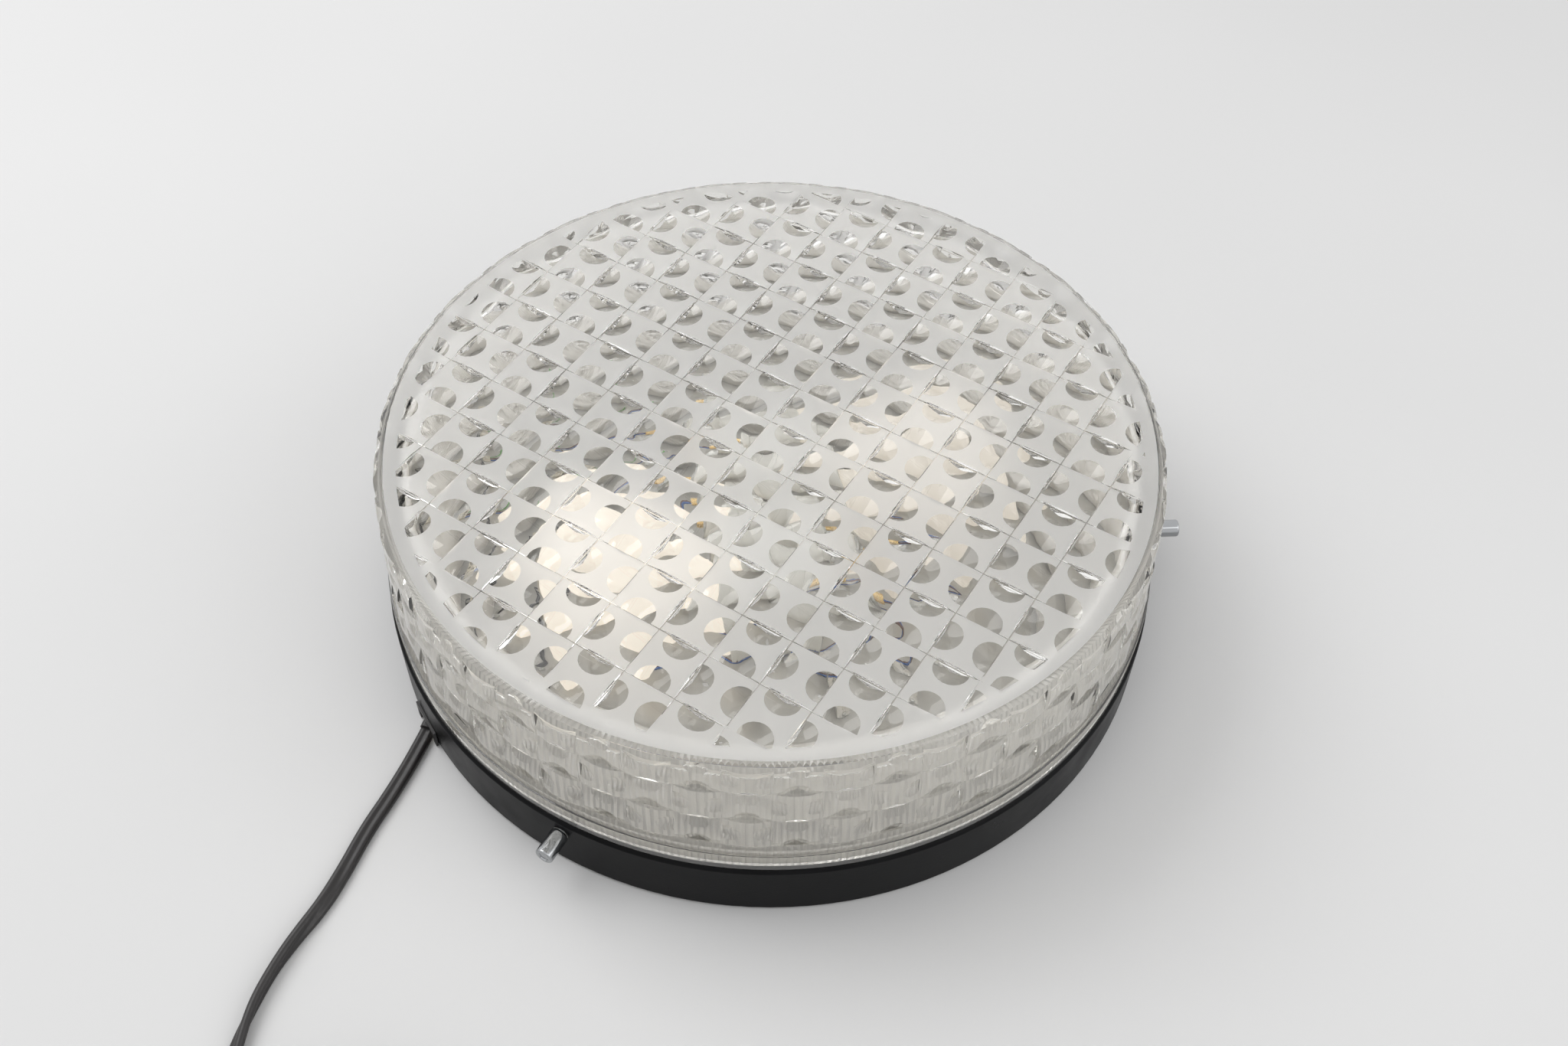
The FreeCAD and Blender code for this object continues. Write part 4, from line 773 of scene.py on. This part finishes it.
        # As wide as a column is, one millimetre inside the wall's foot
        width = 2 * (low[0] - 1) * MM * math.sin(step / 2)
        upright, level, moons = [], [], []
        for column in range(sizes.wall_columns):
            for row in range(sizes.wall_rows):
                height = low[1] * MM + (row + 0.5) * self.row_pitch
                radius = (low[0] * MM - (height - low[1] * MM) * draft) * math.cos(step / 2)
                place = (Matrix.Rotation(self.wall_turn + (column + 0.5) * step, 4, "Z")
                         @ Matrix.Translation((radius, 0, height))
                         @ Matrix.Rotation(math.pi / 2 - math.atan(draft), 4, "Y"))
                if (column + row) % 2 == 0:
                    upright.append(place)
                    reach = self.row_pitch / 2
                else:
                    place = place @ Matrix.Rotation(math.pi / 2, 4, "Z")
                    level.append(place)
                    reach = width / 2
                outwards = Matrix.Translation((reach - 2 * self.wall_gap, 0, 0))
                moons += [place @ Matrix.Rotation(end, 4, "Z") @ outwards for end in (0, math.pi)]
        tall, wide = self.row_pitch - 2 * self.wall_gap, width - 2 * self.wall_gap
        cushions = copies(self.cushion(tall, wide, self.wall_rise, strips=6), upright)
        others = copies(self.cushion(wide, tall, self.wall_rise, strips=6), level)
        select_only(cushions)
        others.select_set(True)
        bpy.ops.object.join()
        moon = self.half_moon(self.wall_moon_radius, self.wall_moon_depth, self.wall_rise, sectors=20)
        moons = copies(moon, moons)
        for relief, foot in ((cushions, self.cushions_from), (moons, self.moons_from)):
            outline = metres([(self.wall_bevel[0][0], foot), *self.wall_bevel])
            combine(relief, turned("wall_bevel", outline, self.steps), "INTERSECT")
        combine(glass, cushions, "UNION")
        combine(glass, moons, "DIFFERENCE")

    def rib_inside(self, glass, ribs):
        """Fine upright flutes round the bore, each of four facets, with sharp crests between them."""
        tool = drum(self.rib_foot_radius, self.rib_foot, self.rib_top, 4 * ribs)
        step = math.pi / (2 * ribs)
        for quarter, share in enumerate(self.rib_corners):
            grow = 1 + self.rib_depth * share / self.rib_foot_radius
            pick(tool, lambda co: round(math.atan2(co.y, co.x) / step) % 4 == quarter, "VERT")
            bpy.ops.transform.resize(value=(grow, grow, 1), center_override=(0, 0, 0))
        pick(tool, lambda co: co.z > (self.rib_foot + self.rib_top) / 2, "VERT")
        shrink = self.rib_top_radius / self.rib_foot_radius
        bpy.ops.transform.resize(value=(shrink, shrink, 1), center_override=(0, 0, self.rib_top))
        combine(glass, tool, "DIFFERENCE")

    def execute(self, context):
        sizes = settings().glass
        glass = self.body(sizes.field_radius)
        self.weave_face(glass, sizes)
        self.weave_wall(glass, sizes)
        self.rib_inside(glass, sizes.ribs)
        select_only(glass)
        bpy.ops.object.shade_smooth_by_angle(angle=self.crease)
        glass.data.materials.clear()
        for finish in (
                glass_finish("clear_glass", sizes.tint, (0.0, 0.02), 6 * MM, 0.02 * MM),
                glass_finish("satin_glass", sizes.tint, (0.58, 0.66), 0.5 * MM, 0.01 * MM, 0.62),
                glass_finish("ribbed_glass", (0.99, 0.965, 0.91), (0.05, 0.12), 3 * MM, 0.01 * MM, 0.45),
                glass_finish("wall_glass", (0.985, 0.975, 0.945), (0.0, 0.03), 3 * MM, 0.01 * MM, 0.92)):
            glass.data.materials.append(finish)
        satin, ribbed, wall = 1, 2, 3
        # Satin lies on what faces up above the grooves, and the rest of the face is clear
        satin_from, facing_up = self.lattice_level + 0.6 * self.groove_depth, 0.97
        for face in glass.data.polygons:
            radius = math.hypot(face.center.x, face.center.y)
            if face.center.z > satin_from and face.normal.z > facing_up:
                face.material_index = satin
            elif radius > self.wall_from:
                face.material_index = wall
            elif radius > self.ribs_from and face.center.z < self.ribs_below:
                face.material_index = ribbed
        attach(glass, "glass")
        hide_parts("glass_shade")
        return {"FINISHED"}


class LIGHT_OT_finishes(bpy.types.Operator):
    """Gives every CAD piece that shows its own finish"""
    bl_idname = "ceiling_light.finishes"
    bl_label = "Finishes"

    def execute(self, context):
        colours = settings().finish
        enamel = base_enamel(colours.enamel, colours.reflector,
                             wall_radius=150.2 * MM, low=1.0 * MM, high=26.9 * MM)
        paint(enamel, "base_pan")
        chrome = plain_finish("polished_chrome", (0.38, 0.39, 0.40), (0.05, 0.12), 1.5 * MM, 0.002 * MM,
                              metal=1.0, contrast=0.03)
        paint(chrome, "thumb_screw_1", "thumb_screw_2", "thumb_screw_3")
        nylon = plain_finish("white_nylon", (0.78, 0.77, 0.72), (0.35, 0.5), 0.6 * MM, 0.01 * MM,
                             contrast=0.04)
        paint(nylon, "screw_tip_1", "screw_tip_2", "screw_tip_3")
        zinc = plain_finish("zinc_plate", (0.62, 0.62, 0.60), (0.24, 0.42), 2.5 * MM, 0.01 * MM,
                            metal=1.0)
        paint(zinc, "holder_bracket_1", "holder_bracket_2", "holder_nuts", "bracket_screws",
              "terminal_fixing_screw", "terminal_screws", "cord_clamp", "cord_clamp_screws",
              "earth_washer", "earth_screw", "screw_bushes")
        brass = plain_finish("brass", (0.80, 0.58, 0.27), (0.2, 0.4), 2.0 * MM, 0.01 * MM, metal=1.0)
        paint(brass, "holder_shell_1", "holder_shell_2", "holder_contact_1", "holder_contact_2",
              "holder_nipple_1", "holder_nipple_2", "terminal_inserts", "plug_pins")
        porcelain = plain_finish("porcelain", (0.85, 0.84, 0.79), (0.1, 0.2), 3.0 * MM, 0.01 * MM,
                                 contrast=0.03, Coat_Weight=0.5, Coat_Roughness=0.05)
        paint(porcelain, "holder_body_1", "holder_body_2")
        plastic = plain_finish("terminal_plastic", (0.66, 0.61, 0.5), (0.35, 0.5), 0.8 * MM, 0.02 * MM,
                               contrast=0.06)
        paint(plastic, "terminal_block")
        paint(lit_bulb("lit_bulb_1", colours.glow, colours.first_glow), "bulb_glass_1")
        paint(lit_bulb("lit_bulb_2", colours.glow, colours.second_glow), "bulb_glass_2")
        cap = plain_finish("bulb_cap_metal", (0.72, 0.70, 0.66), (0.2, 0.35), 1.5 * MM, 0.01 * MM,
                           metal=1.0)
        paint(cap, "bulb_cap_1", "bulb_cap_2", "bulb_contact_1", "bulb_contact_2")
        dark = plain_finish("dark_glass", (0.02, 0.02, 0.025), (0.05, 0.12), 1.5 * MM, 0.01 * MM)
        paint(dark, "bulb_insulator_1", "bulb_insulator_2")
        stem = glass_finish("stem_glass", (0.95, 0.97, 0.96), (0.0, 0.05), 3 * MM, 0.01 * MM)
        paint(stem, "bulb_stem_1", "bulb_stem_2")
        wire = plain_finish("tungsten", (0.45, 0.44, 0.42), (0.3, 0.45), 0.2 * MM, 0.004 * MM,
                            metal=1.0)
        paint(wire, "bulb_filament_1", "bulb_filament_2")
        flex = plain_finish("flex_black", colours.flex, (0.32, 0.46), 0.9 * MM, 0.02 * MM)
        paint(flex, "cord_tail", "cord_bush")
        plug = plain_finish("plug_black", (0.02, 0.019, 0.019), (0.3, 0.42), 0.7 * MM, 0.02 * MM)
        paint(plug, "plug_body", "cord_tie")
        for name, colour, node in (("brown_wire", (0.13, 0.05, 0.025), "live_wires"),
                                   ("blue_wire", (0.03, 0.12, 0.42), "neutral_wires"),
                                   ("earth_wire", (0.12, 0.42, 0.07), "earth_wire")):
            paint(plain_finish(name, colour, (0.3, 0.45), 0.8 * MM, 0.01 * MM, contrast=0.1), node)
        return {"FINISHED"}


class CeilingLightSettings(bpy.types.PropertyGroup):
    glass: bpy.props.PointerProperty(
        type=GlassSettings, name="Glass", description="Sizes of the glass shade")
    flex: bpy.props.PointerProperty(
        type=FlexSettings, name="Flex", description="Sizes of the flex")
    finish: bpy.props.PointerProperty(
        type=FinishSettings, name="Finish", description="Colours of the finishes")
    studio: bpy.props.PointerProperty(
        type=StudioSettings, name="Studio", description="Floor and lamps")


class LIGHT_PT_panel(bpy.types.Panel):
    bl_idname = "LIGHT_PT_panel"
    bl_label = "Ceiling light"
    bl_space_type = "VIEW_3D"
    bl_region_type = "UI"
    bl_category = "Ceiling light"

    def draw(self, context):
        for operator in OPERATORS:
            self.layout.operator(operator.bl_idname)
        light = settings()
        for part in (light.glass, light.flex, light.finish, light.studio):
            box = self.layout.box()
            for name in part.__annotations__:
                box.prop(part, name)


OPERATORS = (LIGHT_OT_studio, LIGHT_OT_flex, LIGHT_OT_glass, LIGHT_OT_finishes)
CLASSES = (GlassSettings, FlexSettings, FinishSettings, StudioSettings, CeilingLightSettings,
           *OPERATORS, LIGHT_PT_panel)


def register():
    for cls in CLASSES:
        bpy.utils.register_class(cls)
    bpy.types.Scene.ceiling_light = bpy.props.PointerProperty(type=CeilingLightSettings)


def unregister():
    del bpy.types.Scene.ceiling_light
    for cls in reversed(CLASSES):
        bpy.utils.unregister_class(cls)


def main():
    register()
    bpy.ops.ceiling_light.studio()
    bpy.ops.ceiling_light.flex()
    bpy.ops.ceiling_light.glass()
    bpy.ops.ceiling_light.finishes()
    bpy.context.view_layer.update()


if __name__ == "__main__":
    main()
